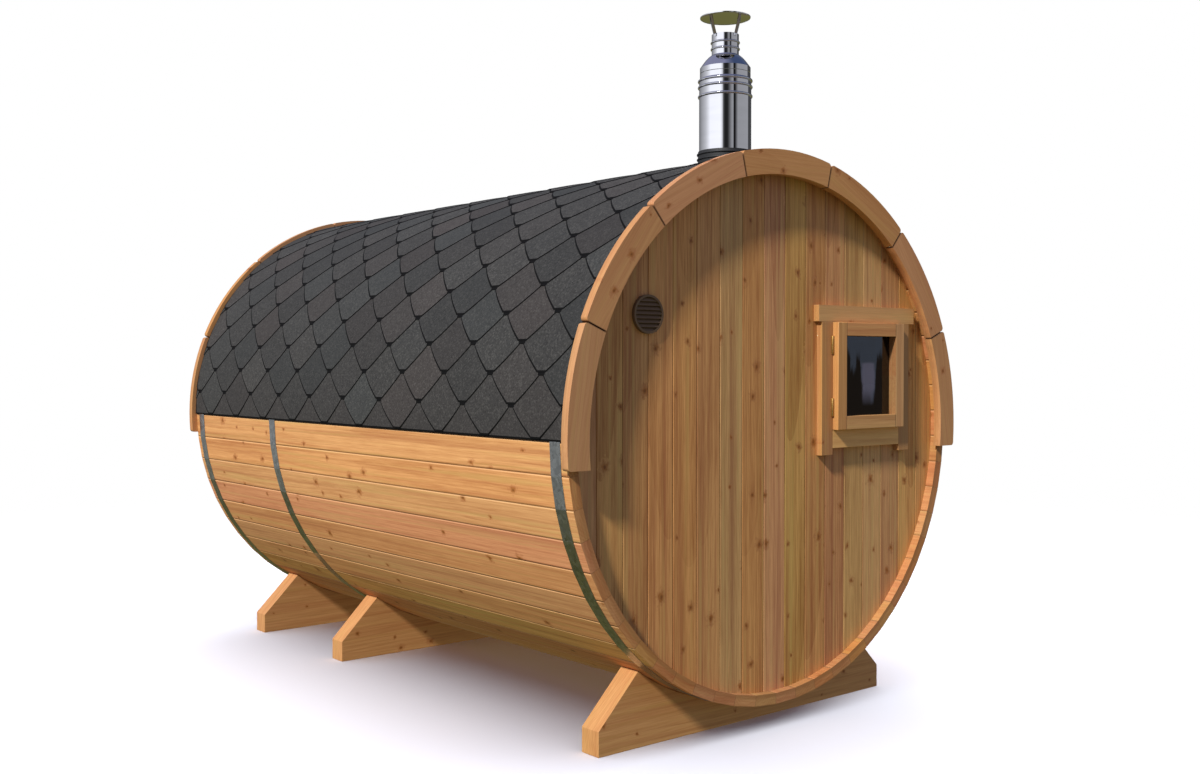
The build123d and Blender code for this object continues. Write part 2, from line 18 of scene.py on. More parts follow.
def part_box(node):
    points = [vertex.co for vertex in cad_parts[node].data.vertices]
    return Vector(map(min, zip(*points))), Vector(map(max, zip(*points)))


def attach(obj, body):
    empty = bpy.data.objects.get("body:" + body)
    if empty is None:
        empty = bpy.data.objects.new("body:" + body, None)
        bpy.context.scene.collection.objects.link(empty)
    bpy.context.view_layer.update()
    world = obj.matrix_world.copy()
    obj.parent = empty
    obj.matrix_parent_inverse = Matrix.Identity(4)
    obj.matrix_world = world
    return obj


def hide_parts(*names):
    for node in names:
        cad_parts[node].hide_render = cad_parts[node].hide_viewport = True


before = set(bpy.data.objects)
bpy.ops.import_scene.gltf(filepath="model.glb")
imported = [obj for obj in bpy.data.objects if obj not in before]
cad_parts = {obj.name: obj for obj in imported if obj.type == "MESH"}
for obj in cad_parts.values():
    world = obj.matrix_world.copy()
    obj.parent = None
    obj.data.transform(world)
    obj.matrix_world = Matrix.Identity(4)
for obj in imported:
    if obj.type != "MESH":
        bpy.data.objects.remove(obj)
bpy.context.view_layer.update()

log = logging.getLogger("sauna")

AXIS_Z = 1.1459
"""Height of the barrel's axis above the ground."""
FLUE_Y = -1.254
"""Place of the flue's axis along the barrel."""
BODY = "root"
"""The part's one body."""
MM = 0.001
"""Metres in a millimetre."""
COLOUR = {"data_type": "RGBA", "out": 2}
"""Settings with which a Mix node mixes colours and hands on the mixed one."""
SMOOTH = {"interpolation_type": "SMOOTHSTEP"}
"""Setting with which a MapRange node eases in and out."""

Value = Union[float, Sequence[float], bpy.types.NodeSocket, None]
Point = tuple[float, float]
Shade = tuple[float, float, float]


def linear(code: str) -> tuple[float, float, float, float]:
    """Turns an sRGB hex colour into linear RGBA.

    Args:
        code: Colour such as "#c68e5b".

    Returns:
        Linear red, green, blue and an alpha of 1.
    """
    parts = [int(code[i:i + 2], 16) / 255 for i in (1, 3, 5)]
    low, slope = 0.04045, 12.92
    red, green, blue = (p / slope if p <= low else ((p + 0.055) / 1.055) ** 2.4 for p in parts)
    return red, green, blue, 1.0


class Graph:
    """A material's or the world's node tree, with one way to add a node."""

    def __init__(self, tree: bpy.types.NodeTree) -> None:
        """Empties the tree and keeps it."""
        tree.nodes.clear()
        self.tree = tree

    def add(self, kind: str, *values: Value, out: Union[int, str] = 0,
            named: Optional[dict] = None, **settings: object) -> bpy.types.NodeSocket:
        """Adds a node, sets it up and links it.

        Args:
            kind: Node type without its "ShaderNode" prefix.
            values: Input values or sockets in order; None leaves an input as it is.
            out: The output that is wanted.
            named: Further inputs by name or number.
            settings: The node's own properties.

        Returns:
            The chosen output, or the node's first input where it has no output.
        """
        node = self.tree.nodes.new("ShaderNode" + kind)
        for key, value in settings.items():
            setattr(node, key, value)
        for key, value in list(enumerate(values)) + list((named or {}).items()):
            if value is None:
                continue
            if isinstance(value, bpy.types.NodeSocket):
                self.tree.links.new(value, node.inputs[key])
            else:
                node.inputs[key].default_value = value
        return node.outputs[out] if node.outputs else node.inputs[0]


def new_material(name: str) -> tuple[bpy.types.Material, Graph]:
    """Makes an empty node material.

    Args:
        name: The material's name.

    Returns:
        The material and its graph.
    """
    material = bpy.data.materials.new(name)
    material.use_nodes = True
    return material, Graph(material.node_tree)


class Axis(Enum):
    """A direction of the shared frame, by its place in a vector."""

    X = 0
    Y = 1
    Z = 2


@dataclass
class Plank:
    """Sockets that say where a point lies in its own plank, in metres."""

    along: bpy.types.NodeSocket
    across: bpy.types.NodeSocket
    depth: bpy.types.NodeSocket
    number: bpy.types.NodeSocket
    joint: Optional[bpy.types.NodeSocket] = None    # distance from the nearest joint
    end: Optional[bpy.types.NodeSocket] = None      # 1 on sawn ends, 0 on long faces
    crest: Optional[bpy.types.NodeSocket] = None    # distance from the plank's upper edge


@dataclass(frozen=True)
class BoardLayout:
    """Straight boards side by side, each with its grain along one axis."""

    along: Axis
    across: Axis
    depth: Axis
    pitch: float
    start: float = 0.0
    seed: float = 0.0
    jointed: bool = True
    rank_pitch: float = 0.7     # boards further apart in depth than this are different boards
    rank_step: float = 31.0     # added to a board's number for each rank

    def plank(self, g: Graph) -> Plank:
        """Works out the plank under each point.

        Args:
            g: The material's graph.

        Returns:
            The plank's sockets.
        """
        place = g.add("TexCoord", out="Object")
        xyz = g.add("SeparateXYZ", place).node.outputs
        shifted = g.add("Math", xyz[self.across.value], self.start, operation="SUBTRACT")
        steps = g.add("Math", shifted, self.pitch, operation="DIVIDE")
        number = g.add("Math", steps, operation="FLOOR")
        share = g.add("Math", steps, number, operation="SUBTRACT")
        across = g.add("Math", share, self.pitch, -self.pitch / 2, operation="MULTIPLY_ADD")
        # Boards of the same number at the two ends, or on two cradles, differ by their place in depth.
        rank = g.add("Math", xyz[self.depth.value], self.rank_pitch, operation="DIVIDE")
        rank = g.add("Math", rank, operation="ROUND")
        number = g.add("Math", rank, self.rank_step, number, operation="MULTIPLY_ADD")
        number = g.add("Math", number, self.seed, operation="ADD")
        joint = None
        if self.jointed:
            off = g.add("Math", across, operation="ABSOLUTE")
            joint = g.add("Math", self.pitch / 2, off, operation="SUBTRACT")
        facing = g.add("SeparateXYZ", g.add("NewGeometry", out="True Normal")).node.outputs
        end = g.add("Math", facing[self.along.value], operation="ABSOLUTE")
        end = g.add("Math", end, 0.5, operation="GREATER_THAN")
        return Plank(xyz[self.along.value], across, xyz[self.depth.value], number, joint, end)


@dataclass(frozen=True)
class StaveLayout:
    """Staves round the barrel, with their grain along Y."""

    radius: float = 1.050
    count: int = 57
    first_joint: float = math.radians(-9.38)

    def plank(self, g: Graph) -> Plank:
        """Works out the stave under each point.

        Args:
            g: The material's graph.

        Returns:
            The plank's sockets.
        """
        pitch = math.tau / self.count
        place = g.add("TexCoord", out="Object")
        xyz = g.add("SeparateXYZ", place).node.outputs
        up = g.add("Math", xyz[2], AXIS_Z, operation="SUBTRACT")
        angle = g.add("Math", up, xyz[0], operation="ARCTAN2")
        angle = g.add("Math", angle, self.first_joint, operation="SUBTRACT")
        steps = g.add("Math", angle, pitch, operation="DIVIDE")
        whole = g.add("Math", steps, operation="FLOOR")
        share = g.add("Math", steps, whole, operation="SUBTRACT")
        number = g.add("Math", whole, float(self.count), operation="FLOORED_MODULO")
        width = pitch * self.radius
        across = g.add("Math", share, width, -width / 2, operation="MULTIPLY_ADD")
        flat = g.add("CombineXYZ", xyz[0], up, 0.0)
        reach = g.add("VectorMath", flat, operation="LENGTH", out=1)
        depth = g.add("Math", reach, self.radius, operation="SUBTRACT")
        off = g.add("Math", across, operation="ABSOLUTE")
        joint = g.add("Math", width / 2, off, operation="SUBTRACT")
        facing = g.add("SeparateXYZ", g.add("NewGeometry", out="True Normal")).node.outputs
        end = g.add("Math", facing[1], operation="ABSOLUTE")
        end = g.add("Math", end, 0.5, operation="GREATER_THAN")
        flip = g.add("Math", xyz[0], operation="SIGN")
        crest = g.add("Math", across, flip, operation="MULTIPLY")
        crest = g.add("Math", width / 2, crest, operation="SUBTRACT")
        return Plank(xyz[1], across, depth, number, joint, end, crest)


@dataclass(frozen=True)
class RimLayout:
    """Sawn arc segments of a rim, each cut from a straight plank."""

    segment: float = math.radians(27.16)
    count: int = 7
    middle_radius: float = 1.0305
    edge_share: float = 0.02    # keeps the rim's two ends in the outermost segments
    rim_step: float = 20.0      # added to a segment's number on the far rim

    def plank(self, g: Graph) -> Plank:
        """Works out the segment under each point.

        Args:
            g: The material's graph.

        Returns:
            The plank's sockets.
        """
        place = g.add("TexCoord", out="Object")
        xyz = g.add("SeparateXYZ", place).node.outputs
        up = g.add("Math", xyz[2], AXIS_Z, operation="SUBTRACT")
        left = g.add("Math", xyz[0], -1.0, operation="MULTIPLY")
        angle = g.add("Math", left, up, operation="ARCTAN2")
        steps = g.add("Math", angle, 1 / self.segment, self.count / 2, operation="MULTIPLY_ADD")
        steps = g.add("Clamp", steps, self.edge_share, self.count - self.edge_share)
        number = g.add("Math", steps, operation="FLOOR")
        nearest = g.add("Math", steps, operation="ROUND")
        joint = g.add("Math", steps, nearest, operation="SUBTRACT")
        joint = g.add("Math", joint, operation="ABSOLUTE")
        joint = g.add("Math", joint, self.segment * self.middle_radius, operation="MULTIPLY")
        middle = g.add("Math", number, self.segment, self.segment * (1 - self.count) / 2,
                       operation="MULTIPLY_ADD")
        sine = g.add("Math", middle, operation="SINE")
        cosine = g.add("Math", middle, operation="COSINE")
        flat = g.add("CombineXYZ", left, up, 0.0)
        outward = g.add("CombineXYZ", sine, cosine, 0.0)
        back = g.add("Math", sine, -1.0, operation="MULTIPLY")
        sideways = g.add("CombineXYZ", cosine, back, 0.0)
        reach = g.add("VectorMath", flat, outward, operation="DOT_PRODUCT", out=1)
        across = g.add("Math", reach, self.middle_radius, operation="SUBTRACT")
        along = g.add("VectorMath", flat, sideways, operation="DOT_PRODUCT", out=1)
        far = g.add("Math", xyz[1], 0.0, operation="GREATER_THAN")
        number = g.add("Math", far, self.rim_step, number, operation="MULTIPLY_ADD")
        return Plank(along, across, xyz[1], number, joint)


@dataclass(frozen=True)
class FrameLayout:
    """Members round an opening: uprights with grain along Z, cross members along X."""

    centre_x: float
    centre_z: float
    clear_x: float
    clear_z: float
    rails_through: bool
    seed: float = 0.0

    def plank(self, g: Graph) -> Plank:
        """Works out the member under each point.

        Args:
            g: The material's graph.

        Returns:
            The plank's sockets.
        """
        place = g.add("TexCoord", out="Object")
        xyz = g.add("SeparateXYZ", place).node.outputs
        side = g.add("Math", xyz[0], self.centre_x, operation="SUBTRACT")
        rise = g.add("Math", xyz[2], self.centre_z, operation="SUBTRACT")
        if self.rails_through:
            far = g.add("Math", rise, operation="ABSOLUTE")
            rail = g.add("Math", far, self.clear_z, operation="GREATER_THAN")
            upright = g.add("Math", 1.0, rail, operation="SUBTRACT")
            joint = g.add("Math", far, self.clear_z, operation="SUBTRACT")
        else:
            far = g.add("Math", side, operation="ABSOLUTE")
            upright = g.add("Math", far, self.clear_x, operation="GREATER_THAN")
            joint = g.add("Math", far, self.clear_x, operation="SUBTRACT")
        joint = g.add("Math", joint, operation="ABSOLUTE")
        along = g.add("Mix", upright, None, side, rise)
        across = g.add("Mix", upright, None, rise, side)
        sign = g.add("Math", across, 0.0, operation="GREATER_THAN")
        number = g.add("Math", upright, 2.0, sign, operation="MULTIPLY_ADD")
        number = g.add("Math", number, self.seed, operation="ADD")
        return Plank(along, across, xyz[1], number, joint)


Layout = Union[BoardLayout, StaveLayout, RimLayout, FrameLayout]


@dataclass(frozen=True)
class Softwood:
    """Oiled spruce, planed: honey to red-brown streaks, small dark knots, a dull sheen.

    The eye gets a tone to each plank, streaks along the grain with the rings' edges
    as thin darker lines, and knots with a red surround and the grain bent round them.
    """

    name: str
    layout: Layout
    pale: str = "#dca162"
    deep: str = "#a86a35"
    heart: str = "#a4582c"
    sapwood: str = "#cba059"
    knot: str = "#7a430a"
    knot_rim: str = "#a05f18"
    sawn_end: str = "#965a18"
    seam: str = "#3d2412"
    # Colour of the painted highlight along each stave's upper arris.
    highlight_edge: str = "#f4c88e"
    # Colour of the painted shade on the staves' inner face.
    inner_shade: str = "#96602f"
    ring_mm: float = 11.0       # rings are about 3 mm; drawn coarser so that they show
    fibre_mm: float = 4.0       # fibres are far finer; drawn coarser so that they show
    figure: float = 1.0         # contrast of streaks and rings
    sway: float = 0.075         # how far the rings wander across the plank, in metres
    knot_cell_mm: float = 135.0
    knot_mm: float = 9.0        # radius of the largest knots
    knot_notch_mm: float = 40 / 3   # unevenness of a knot's outline
    knot_share: float = 0.6
    tone_spread: float = 0.16
    hue_spread: float = 0.014
    rich_spread: float = 0.08
    joint_shade: float = 0.5
    joint_mm: float = 2.2       # half-width of the dark line at a joint
    arris_mm: float = 4.0       # width of the eased edge beside it
    arris_bump: float = 0.5
    crest_highlight: float = 0.32   # how much paler the upper arris is painted: a painted highlight where the edge catches the light
    end_shade: float = 0.4
    roughness: float = 0.62
    shift_along: float = 40.0   # sets each plank at a place of its own along the grain, in metres
    shift_across: float = 3.7   # and across it

    def build(self) -> bpy.types.Material:
        """Makes the material.

        Returns:
            The finished material.
        """
        material, g = new_material(self.name)
        plank = self.layout.plank(g)
        chance = g.add("TexWhiteNoise", named={"W": plank.number}, noise_dimensions="1D", out=1)
        luck = g.add("SeparateColor", chance).node.outputs
        along = g.add("Math", luck[0], self.shift_along, plank.along, operation="MULTIPLY_ADD")
        lane = g.add("Math", plank.number, self.shift_across, plank.across, operation="MULTIPLY_ADD")
        knot, core, halo = self.knots(g, along, lane)
        late = self.rings(g, plank, luck, along, lane, halo)
        face = 1.0
        if plank.end is not None:
            # Sawn ends have no knots, and the saw's lines run across the plank.
            face = g.add("Math", 1.0, plank.end, operation="SUBTRACT")
            knot, core, halo = (g.add("Math", mark, face, operation="MULTIPLY")
                                for mark in (knot, core, halo))
            squeeze = g.add("Math", face, 0.92, 0.08, operation="MULTIPLY_ADD")
            lane = g.add("Math", lane, squeeze, operation="MULTIPLY")
        # Each kind of streak: changes along a metre, width in fibres, finer detail.
        kinds = ((8.0, 1.0, 4.0), (1.4, 2.1, 2.0), (0.6, 7.0, 2.0), (0.8, 5.5, 1.0))
        fibre, stripe, band, sap = (
            self.streak(g, along, lane, plank.depth, rate, self.fibre_mm * width, detail)
            for rate, width, detail in kinds)

        mark = g.add("Math", fibre, 1.6, -1.5, operation="MULTIPLY_ADD")
        mark = g.add("Math", stripe, 1.4, mark, operation="MULTIPLY_ADD")
        mark = g.add("Math", late, 0.42, mark, operation="MULTIPLY_ADD")
        mark = g.add("Math", mark, self.figure, 0.35, operation="MULTIPLY_ADD", use_clamp=True)
        band = g.add("MapRange", band, 0.45, 0.75, 0.0, 0.6 * self.figure, **SMOOTH)
        sap = g.add("MapRange", sap, 0.5, 0.72, 0.0, 0.55 * self.figure, **SMOOTH)
        colour: Value = linear(self.pale)
        for share, over in ((mark, self.deep), (band, self.heart), (sap, self.sapwood)):
            colour = g.add("Mix", named={0: share, 6: colour, 7: linear(over)}, **COLOUR)
        tone = g.add("Math", luck[1], self.tone_spread, 1 - self.tone_spread / 2, operation="MULTIPLY_ADD")
        least_hue = 0.5 - self.hue_spread * 0.42
        hue = g.add("Math", luck[0], self.hue_spread, least_hue, operation="MULTIPLY_ADD")
        least_rich = 1 - self.rich_spread / 2
        strong = g.add("Math", luck[2], self.rich_spread, least_rich, operation="MULTIPLY_ADD")
        colour = g.add("HueSaturation", hue, strong, tone, 1.0, colour)

        layers = [(g.add("Math", halo, 0.4, operation="MULTIPLY"), self.heart),
                  (g.add("Math", knot, 0.72, operation="MULTIPLY"), self.knot_rim),
                  (g.add("Math", core, 0.8, operation="MULTIPLY"), self.knot)]
        relief = g.add("Math", late, 0.5, fibre, operation="MULTIPLY_ADD")
        relief = g.add("Math", knot, 0.4, relief, operation="MULTIPLY_ADD")
        normal = g.add("Bump", named={"Strength": 0.3, "Distance": 0.8 * MM, "Height": relief})
        if plank.end is not None:
            layers.append((g.add("Math", plank.end, self.end_shade, operation="MULTIPLY"), self.sawn_end))
        joint, arris = self.joint_mm * MM, self.arris_mm * MM
        if plank.joint is not None:
            seam = g.add("MapRange", plank.joint, joint * 0.3, joint, self.joint_shade, 0.0, **SMOOTH)
            weaker = g.add("Math", face, 0.6, 0.4, operation="MULTIPLY_ADD")
            layers.append((g.add("Math", seam, weaker, operation="MULTIPLY"), self.seam))
            slope = g.add("MapRange", plank.joint, 0.0, arris, **SMOOTH)
            slope = g.add("Math", slope, face, operation="MULTIPLY")
            normal = g.add("Bump", named={"Strength": self.arris_bump, "Distance": arris * 0.4,
                                          "Height": slope, "Normal": normal})
        # Painted highlight: the staves' upper arris is made paler, as where the edge catches the light.
        if plank.crest is not None:
            off = g.add("Math", plank.crest, joint * 1.5, operation="SUBTRACT")
            off = g.add("Math", off, operation="ABSOLUTE")
            arris_highlight = g.add("MapRange", off, joint * 0.5, joint, self.crest_highlight, 0.0, **SMOOTH)
            layers.append((g.add("Math", arris_highlight, face, operation="MULTIPLY"), self.highlight_edge))
            # Painted shade: the staves' inner face, inside the barrel, is made darker.
            layers.append((g.add("MapRange", plank.depth, -0.03, -0.02, 0.45, 0.0), self.inner_shade))
        for share, over in layers:
            colour = g.add("Mix", named={0: share, 6: colour, 7: linear(over)}, **COLOUR)
        dull = g.add("Math", fibre, 0.2, self.roughness - 0.1, operation="MULTIPLY_ADD")
        shader = g.add("BsdfPrincipled", named={"Base Color": colour, "Roughness": dull, "Normal": normal,
                                                "IOR": 1.5})
        g.add("OutputMaterial", shader)
        return material

    def streak(self, g: Graph, along: Value, lane: Value, depth: Value, rate: float, width_mm: float,
               detail: float) -> bpy.types.NodeSocket:
        """Streaks along the grain.

        Args:
            g: The material's graph.
            along: Place along the plank.
            lane: Place across it.
            depth: Place through it.
            rate: Changes along a metre.
            width_mm: Width of a streak.
            detail: How much finer detail it has.

        Returns:
            The streaks' strength, about 0.5.
        """
        across = 1 / (width_mm * MM)
        place = g.add("CombineXYZ", g.add("Math", along, rate, operation="MULTIPLY"),
                      g.add("Math", lane, across, operation="MULTIPLY"),
                      g.add("Math", depth, across, operation="MULTIPLY"))
        return g.add("TexNoise", named={"Vector": place, "Scale": 1.0, "Detail": detail, "Roughness": 0.6})

    def knots(self, g: Graph, along: Value, lane: Value) -> tuple[bpy.types.NodeSocket, ...]:
        """Knots scattered over the planks.

        Args:
            g: The material's graph.
            along: Place along the plank.
            lane: Place across it.

        Returns:
            The knot, its dark heart and the surround, each from 0 to 1.
        """
        cell = self.knot_cell_mm * MM
        spot = g.add("CombineXYZ", g.add("Math", along, 0.8, operation="MULTIPLY"), lane, 0.0)
        cells = g.add("TexVoronoi", named={"Vector": spot, "Scale": 1 / cell}, voronoi_dimensions="2D").node
        ragged = g.add("TexNoise", named={"Vector": spot, "Scale": 1 / (self.knot_notch_mm * MM),
                                          "Detail": 2.0}, noise_dimensions="2D")
        ragged = g.add("Math", ragged, 1.7, 0.15, operation="MULTIPLY_ADD")
        away = g.add("Math", cells.outputs[0], cell, operation="MULTIPLY")
        away = g.add("Math", away, ragged, operation="MULTIPLY")
        draw = g.add("SeparateColor", cells.outputs[1]).node.outputs
        has = g.add("Math", draw[0], self.knot_share, operation="LESS_THAN")
        largest = self.knot_mm * MM
        size = g.add("Math", draw[1], largest * 0.6, largest * 0.4, operation="MULTIPLY_ADD")
        reach = g.add("Math", away, size, operation="DIVIDE")
        rings = []
        for inner, outer in ((0.75, 1.25), (0.25, 0.7), (0.9, 2.6)):
            ring = g.add("MapRange", reach, inner, outer, 1.0, 0.0, **SMOOTH)
            rings.append(g.add("Math", ring, has, operation="MULTIPLY"))
        return tuple(rings)

    def rings(self, g: Graph, plank: Plank, luck: Sequence[bpy.types.NodeSocket], along: Value, lane: Value,
              halo: Value) -> bpy.types.NodeSocket:
        """Edges of the year rings where the saw met them.

        Args:
            g: The material's graph.
            plank: The plank's sockets.
            luck: Three random numbers of the plank.
            along: Place along the plank.
            lane: Place across it.
            halo: The knots' surrounds, which the grain bends round.

        Returns:
            How dark the ring is, from 0 to 1.
        """
        place = g.add("CombineXYZ", g.add("Math", along, 0.7, operation="MULTIPLY"),
                      g.add("Math", lane, 3.0, operation="MULTIPLY"), 0.0)
        drift = g.add("TexNoise", named={"Vector": place, "Scale": 1.0, "Detail": 2.0},
                      noise_dimensions="2D")
        side = g.add("Math", luck[1], -0.12, 0.06, operation="MULTIPLY_ADD")
        side = g.add("Math", drift, self.sway, side, operation="MULTIPLY_ADD")
        side = g.add("Math", plank.across, side, operation="ADD")
        lean = g.add("Math", along, 0.012, operation="MULTIPLY")
        lean = g.add("Math", lean, luck[2], operation="MULTIPLY")
        behind = g.add("Math", plank.depth, lean, operation="ADD")
        pith = g.add("Math", luck[2], 0.10, 0.045, operation="MULTIPLY_ADD")
        behind = g.add("Math", behind, pith, operation="ADD")
        radius = g.add("VectorMath", g.add("CombineXYZ", side, behind, 0.0), operation="LENGTH", out=1)
        radius = g.add("Math", halo, 0.005, radius, operation="MULTIPLY_ADD")
        turns = g.add("Math", radius, 1 / (self.ring_mm * MM), operation="MULTIPLY")
        share = g.add("Math", turns, operation="FRACT")
        late = g.add("MapRange", share, 0.25, 0.92, **SMOOTH)
        slow = g.add("Math", turns, 0.37, operation="MULTIPLY")
        year = g.add("TexNoise", named={"W": slow, "Scale": 1.0, "Detail": 1.0}, noise_dimensions="1D")
        year = g.add("MapRange", year, 0.3, 0.7, 0.25, 1.0)
        return g.add("Math", late, year, operation="MULTIPLY")


@dataclass(frozen=True)
class Shingle:
    """Bitumen shingle coated with slate granules: dark grey, dull and speckled, a tone to each tab."""

    name: str = "granule_coated_bitumen"
    colour: str = "#2f2d29"
    speck: str = "#55524c"
    pit: str = "#141312"
    warm: str = "#3c2f2a"
    cool: str = "#2a3231"
    grit_mm: float = 6.0        # granules are about 1.5 mm; drawn coarser so that they show
    cloud_mm: float = 1000 / 9  # nine clouds to the metre
    tone_step: float = 53.0     # tells tabs of nearly the same tone apart

    def build(self) -> bpy.types.Material:
        """Makes the material.

        Returns:
            The finished material.
        """
        material, g = new_material(self.name)
        place = g.add("TexCoord", out="Object")
        grain = g.add("TexVoronoi", named={"Vector": place, "Scale": 1 / (self.grit_mm * MM)}).node
        pick = g.add("SeparateColor", grain.outputs[1]).node.outputs
        tone = g.add("Attribute", attribute_name="tab_tone", attribute_type="GEOMETRY", out="Fac")
        cloud = g.add("TexNoise", named={"Vector": place, "Scale": 1 / (self.cloud_mm * MM), "Detail": 3.0})
        bright = g.add("Math", tone, 0.46, 0.66, operation="MULTIPLY_ADD")
        bright = g.add("Math", cloud, 0.2, bright, operation="MULTIPLY_ADD")
        bright = g.add("Math", bright, 0.1, operation="SUBTRACT")
        mixed = g.add("Math", tone, self.tone_step, operation="MULTIPLY")
        tab = g.add("TexWhiteNoise", named={"W": mixed}, noise_dimensions="1D", out=0)
        layers = ((g.add("MapRange", pick[0], 0.55, 1.0, 0.0, 0.55), self.speck),
                  (g.add("MapRange", pick[1], 0.6, 1.0, 0.0, 0.6), self.pit),
                  (g.add("MapRange", tab, 0.6, 1.0, 0.0, 0.3), self.warm),
                  (g.add("MapRange", tab, 0.4, 0.0, 0.0, 0.25), self.cool))
        colour: Value = linear(self.colour)
        for share, over in layers:
            colour = g.add("Mix", named={0: share, 6: colour, 7: linear(over)}, **COLOUR)
        colour = g.add("HueSaturation", 0.5, 1.0, bright, 1.0, colour)
        relief = g.add("Math", grain.outputs[0], -1.0, operation="MULTIPLY")
        bump = g.add("Bump", named={"Strength": 0.5, "Distance": 1.5 * MM, "Height": relief})
        dull = g.add("MapRange", pick[2], 0.0, 1.0, 0.8, 0.95)
        shader = g.add("BsdfPrincipled", named={"Base Color": colour, "Roughness": dull, "Normal": bump,
                                                "IOR": 1.5})
        g.add("OutputMaterial", shader)
        return material


@dataclass(frozen=True)
class Speckled:
    """A plain stuff with a fine cloud in its colour, gloss and surface.

    It serves cut bitumen, moulded rubber, moulded ABS and brass-plated pressings,
    whose colour the eye takes as one until it comes close.
    """

    name: str
    low: str
    high: str
    cloud_mm: float
    roughness: float
    metallic: float = 0.0
    relief_mm: float = 0.2
    spread: float = 0.12        # how far the gloss varies
    shine: float = 0.5          # 0.5 is the shine that the IOR gives

    def build(self) -> bpy.types.Material:
        """Makes the material.

        Returns:
            The finished material.
        """
        material, g = new_material(self.name)
        place = g.add("TexCoord", out="Object")
        cloud = g.add("TexNoise", named={"Vector": place, "Scale": 1 / (self.cloud_mm * MM), "Detail": 4.0})
        share = g.add("MapRange", cloud, 0.3, 0.7)
        colour = g.add("Mix", named={0: share, 6: linear(self.low), 7: linear(self.high)}, **COLOUR)
        least = self.roughness - self.spread
        dull = g.add("Math", cloud, self.spread * 2, least, operation="MULTIPLY_ADD")
        bump = g.add("Bump", named={"Strength": 0.4, "Distance": self.relief_mm * MM, "Height": cloud})
        shader = g.add("BsdfPrincipled", named={"Base Color": colour, "Roughness": dull, "Normal": bump,
                                                "Metallic": self.metallic,
                                                "Specular IOR Level": self.shine})
        g.add("OutputMaterial", shader)
        return material


@dataclass(frozen=True)
class Galvanised:
    """Steel strip, hot-dip galvanised: grey zinc with spangles of differing gloss, half a mirror."""

    name: str = "hot_dip_galvanised_steel"
    low: str = "#888b8c"
    high: str = "#a7aaab"
    spangle_mm: float = 14.0
    roughness: Point = (0.26, 0.36)

    def build(self) -> bpy.types.Material:
        """Makes the material.

        Returns:
            The finished material.
        """
        material, g = new_material(self.name)
        place = g.add("TexCoord", out="Object")
        flake = g.add("TexVoronoi", named={"Vector": place, "Scale": 1 / (self.spangle_mm * MM)}).node
        pick = g.add("SeparateColor", flake.outputs[1]).node.outputs
        colour = g.add("Mix", named={0: pick[0], 6: linear(self.low), 7: linear(self.high)}, **COLOUR)
        dull = g.add("MapRange", pick[1], 0.0, 1.0, *self.roughness)
        shader = g.add("BsdfPrincipled", named={"Base Color": colour, "Roughness": dull, "Metallic": 1.0})
        g.add("OutputMaterial", shader)
        return material


@dataclass(frozen=True)
class PolishedSteel:
    """Stainless sheet, rolled bright: a mirror drawn out slightly round the pipe by the rolls."""

    name: str = "bright_rolled_stainless_steel"
    colour: str = "#e6e6ea"
    smear: str = "#d6d6da"
    streak_mm: Point = (125.0, 25.0)    # length round the pipe and width
    roughness: float = 0.022
    spread: float = 0.015               # how far the gloss varies

    def build(self) -> bpy.types.Material:
        """Makes the material.

        Returns:
            The finished material.
        """
        material, g = new_material(self.name)
        place = g.add("TexCoord", out="Object")
        length, width = (1 / (size * MM) for size in self.streak_mm)
        drawn = g.add("VectorMath", place, (length, length, width), operation="MULTIPLY")
        streak = g.add("TexNoise", named={"Vector": drawn, "Scale": 1.0, "Detail": 3.0})
        colour = g.add("Mix", named={0: streak, 6: linear(self.colour), 7: linear(self.smear)}, **COLOUR)
        least = self.roughness - self.spread
        dull = g.add("Math", streak, self.spread * 2, least, operation="MULTIPLY_ADD")
        shader = g.add("BsdfPrincipled", named={"Base Color": colour, "Roughness": dull, "Metallic": 1.0})
        g.add("OutputMaterial", shader)
        return material


@dataclass(frozen=True)
class DarkGlass:
    """Float glass, tinted grey-blue: the unlit room behind it looks black, sky and trees lie on it."""

    name: str = "tinted_float_glass"
    tint: str = "#3c4146"
    haze: str = "#474d53"
    ripple_mm: float = 160.0
    relief_mm: float = 1.0

    def build(self) -> bpy.types.Material:
        """Makes the material.

        Returns:
            The finished material.
        """
        material, g = new_material(self.name)
        place = g.add("TexCoord", out="Object")
        ripple = g.add("TexNoise", named={"Vector": place, "Scale": 1 / (self.ripple_mm * MM),
                                          "Detail": 2.0})
        colour = g.add("Mix", named={0: ripple, 6: linear(self.tint), 7: linear(self.haze)}, **COLOUR)
        dull = g.add("MapRange", ripple, 0.3, 0.7, 0.0, 0.006)
        bump = g.add("Bump", named={"Strength": 0.1, "Distance": self.relief_mm * MM, "Height": ripple})
        shader = g.add("BsdfPrincipled", named={"Base Color": colour, "Roughness": dull, "Normal": bump,
                                                "IOR": 1.52, "Transmission Weight": 1.0})
        g.add("OutputMaterial", shader)
        return material


def add_piece(name: str, mesh: bpy.types.Mesh, replaced: Iterable[str] = (),
              smooth_angle: Optional[float] = 35.0) -> bpy.types.Object:
    """Puts a finished mesh in the scene as a piece of the sauna.

    Args:
        name: The piece's name.
        mesh: Its mesh, in place.
        replaced: CAD nodes that it stands for.
        smooth_angle: Edges sharper than this stay sharp; None keeps flat faces.

    Returns:
        The new object.
    """
    if smooth_angle is not None:
        mesh.polygons.foreach_set("use_smooth", [True] * len(mesh.polygons))
        mesh.set_sharp_from_angle(angle=math.radians(smooth_angle))
    piece = bpy.data.objects.new(name, mesh)
    bpy.context.scene.collection.objects.link(piece)
    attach(piece, BODY)
    if replaced:
        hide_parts(*replaced)
    log.info("piece %s: %d faces", name, len(mesh.polygons))
    return piece


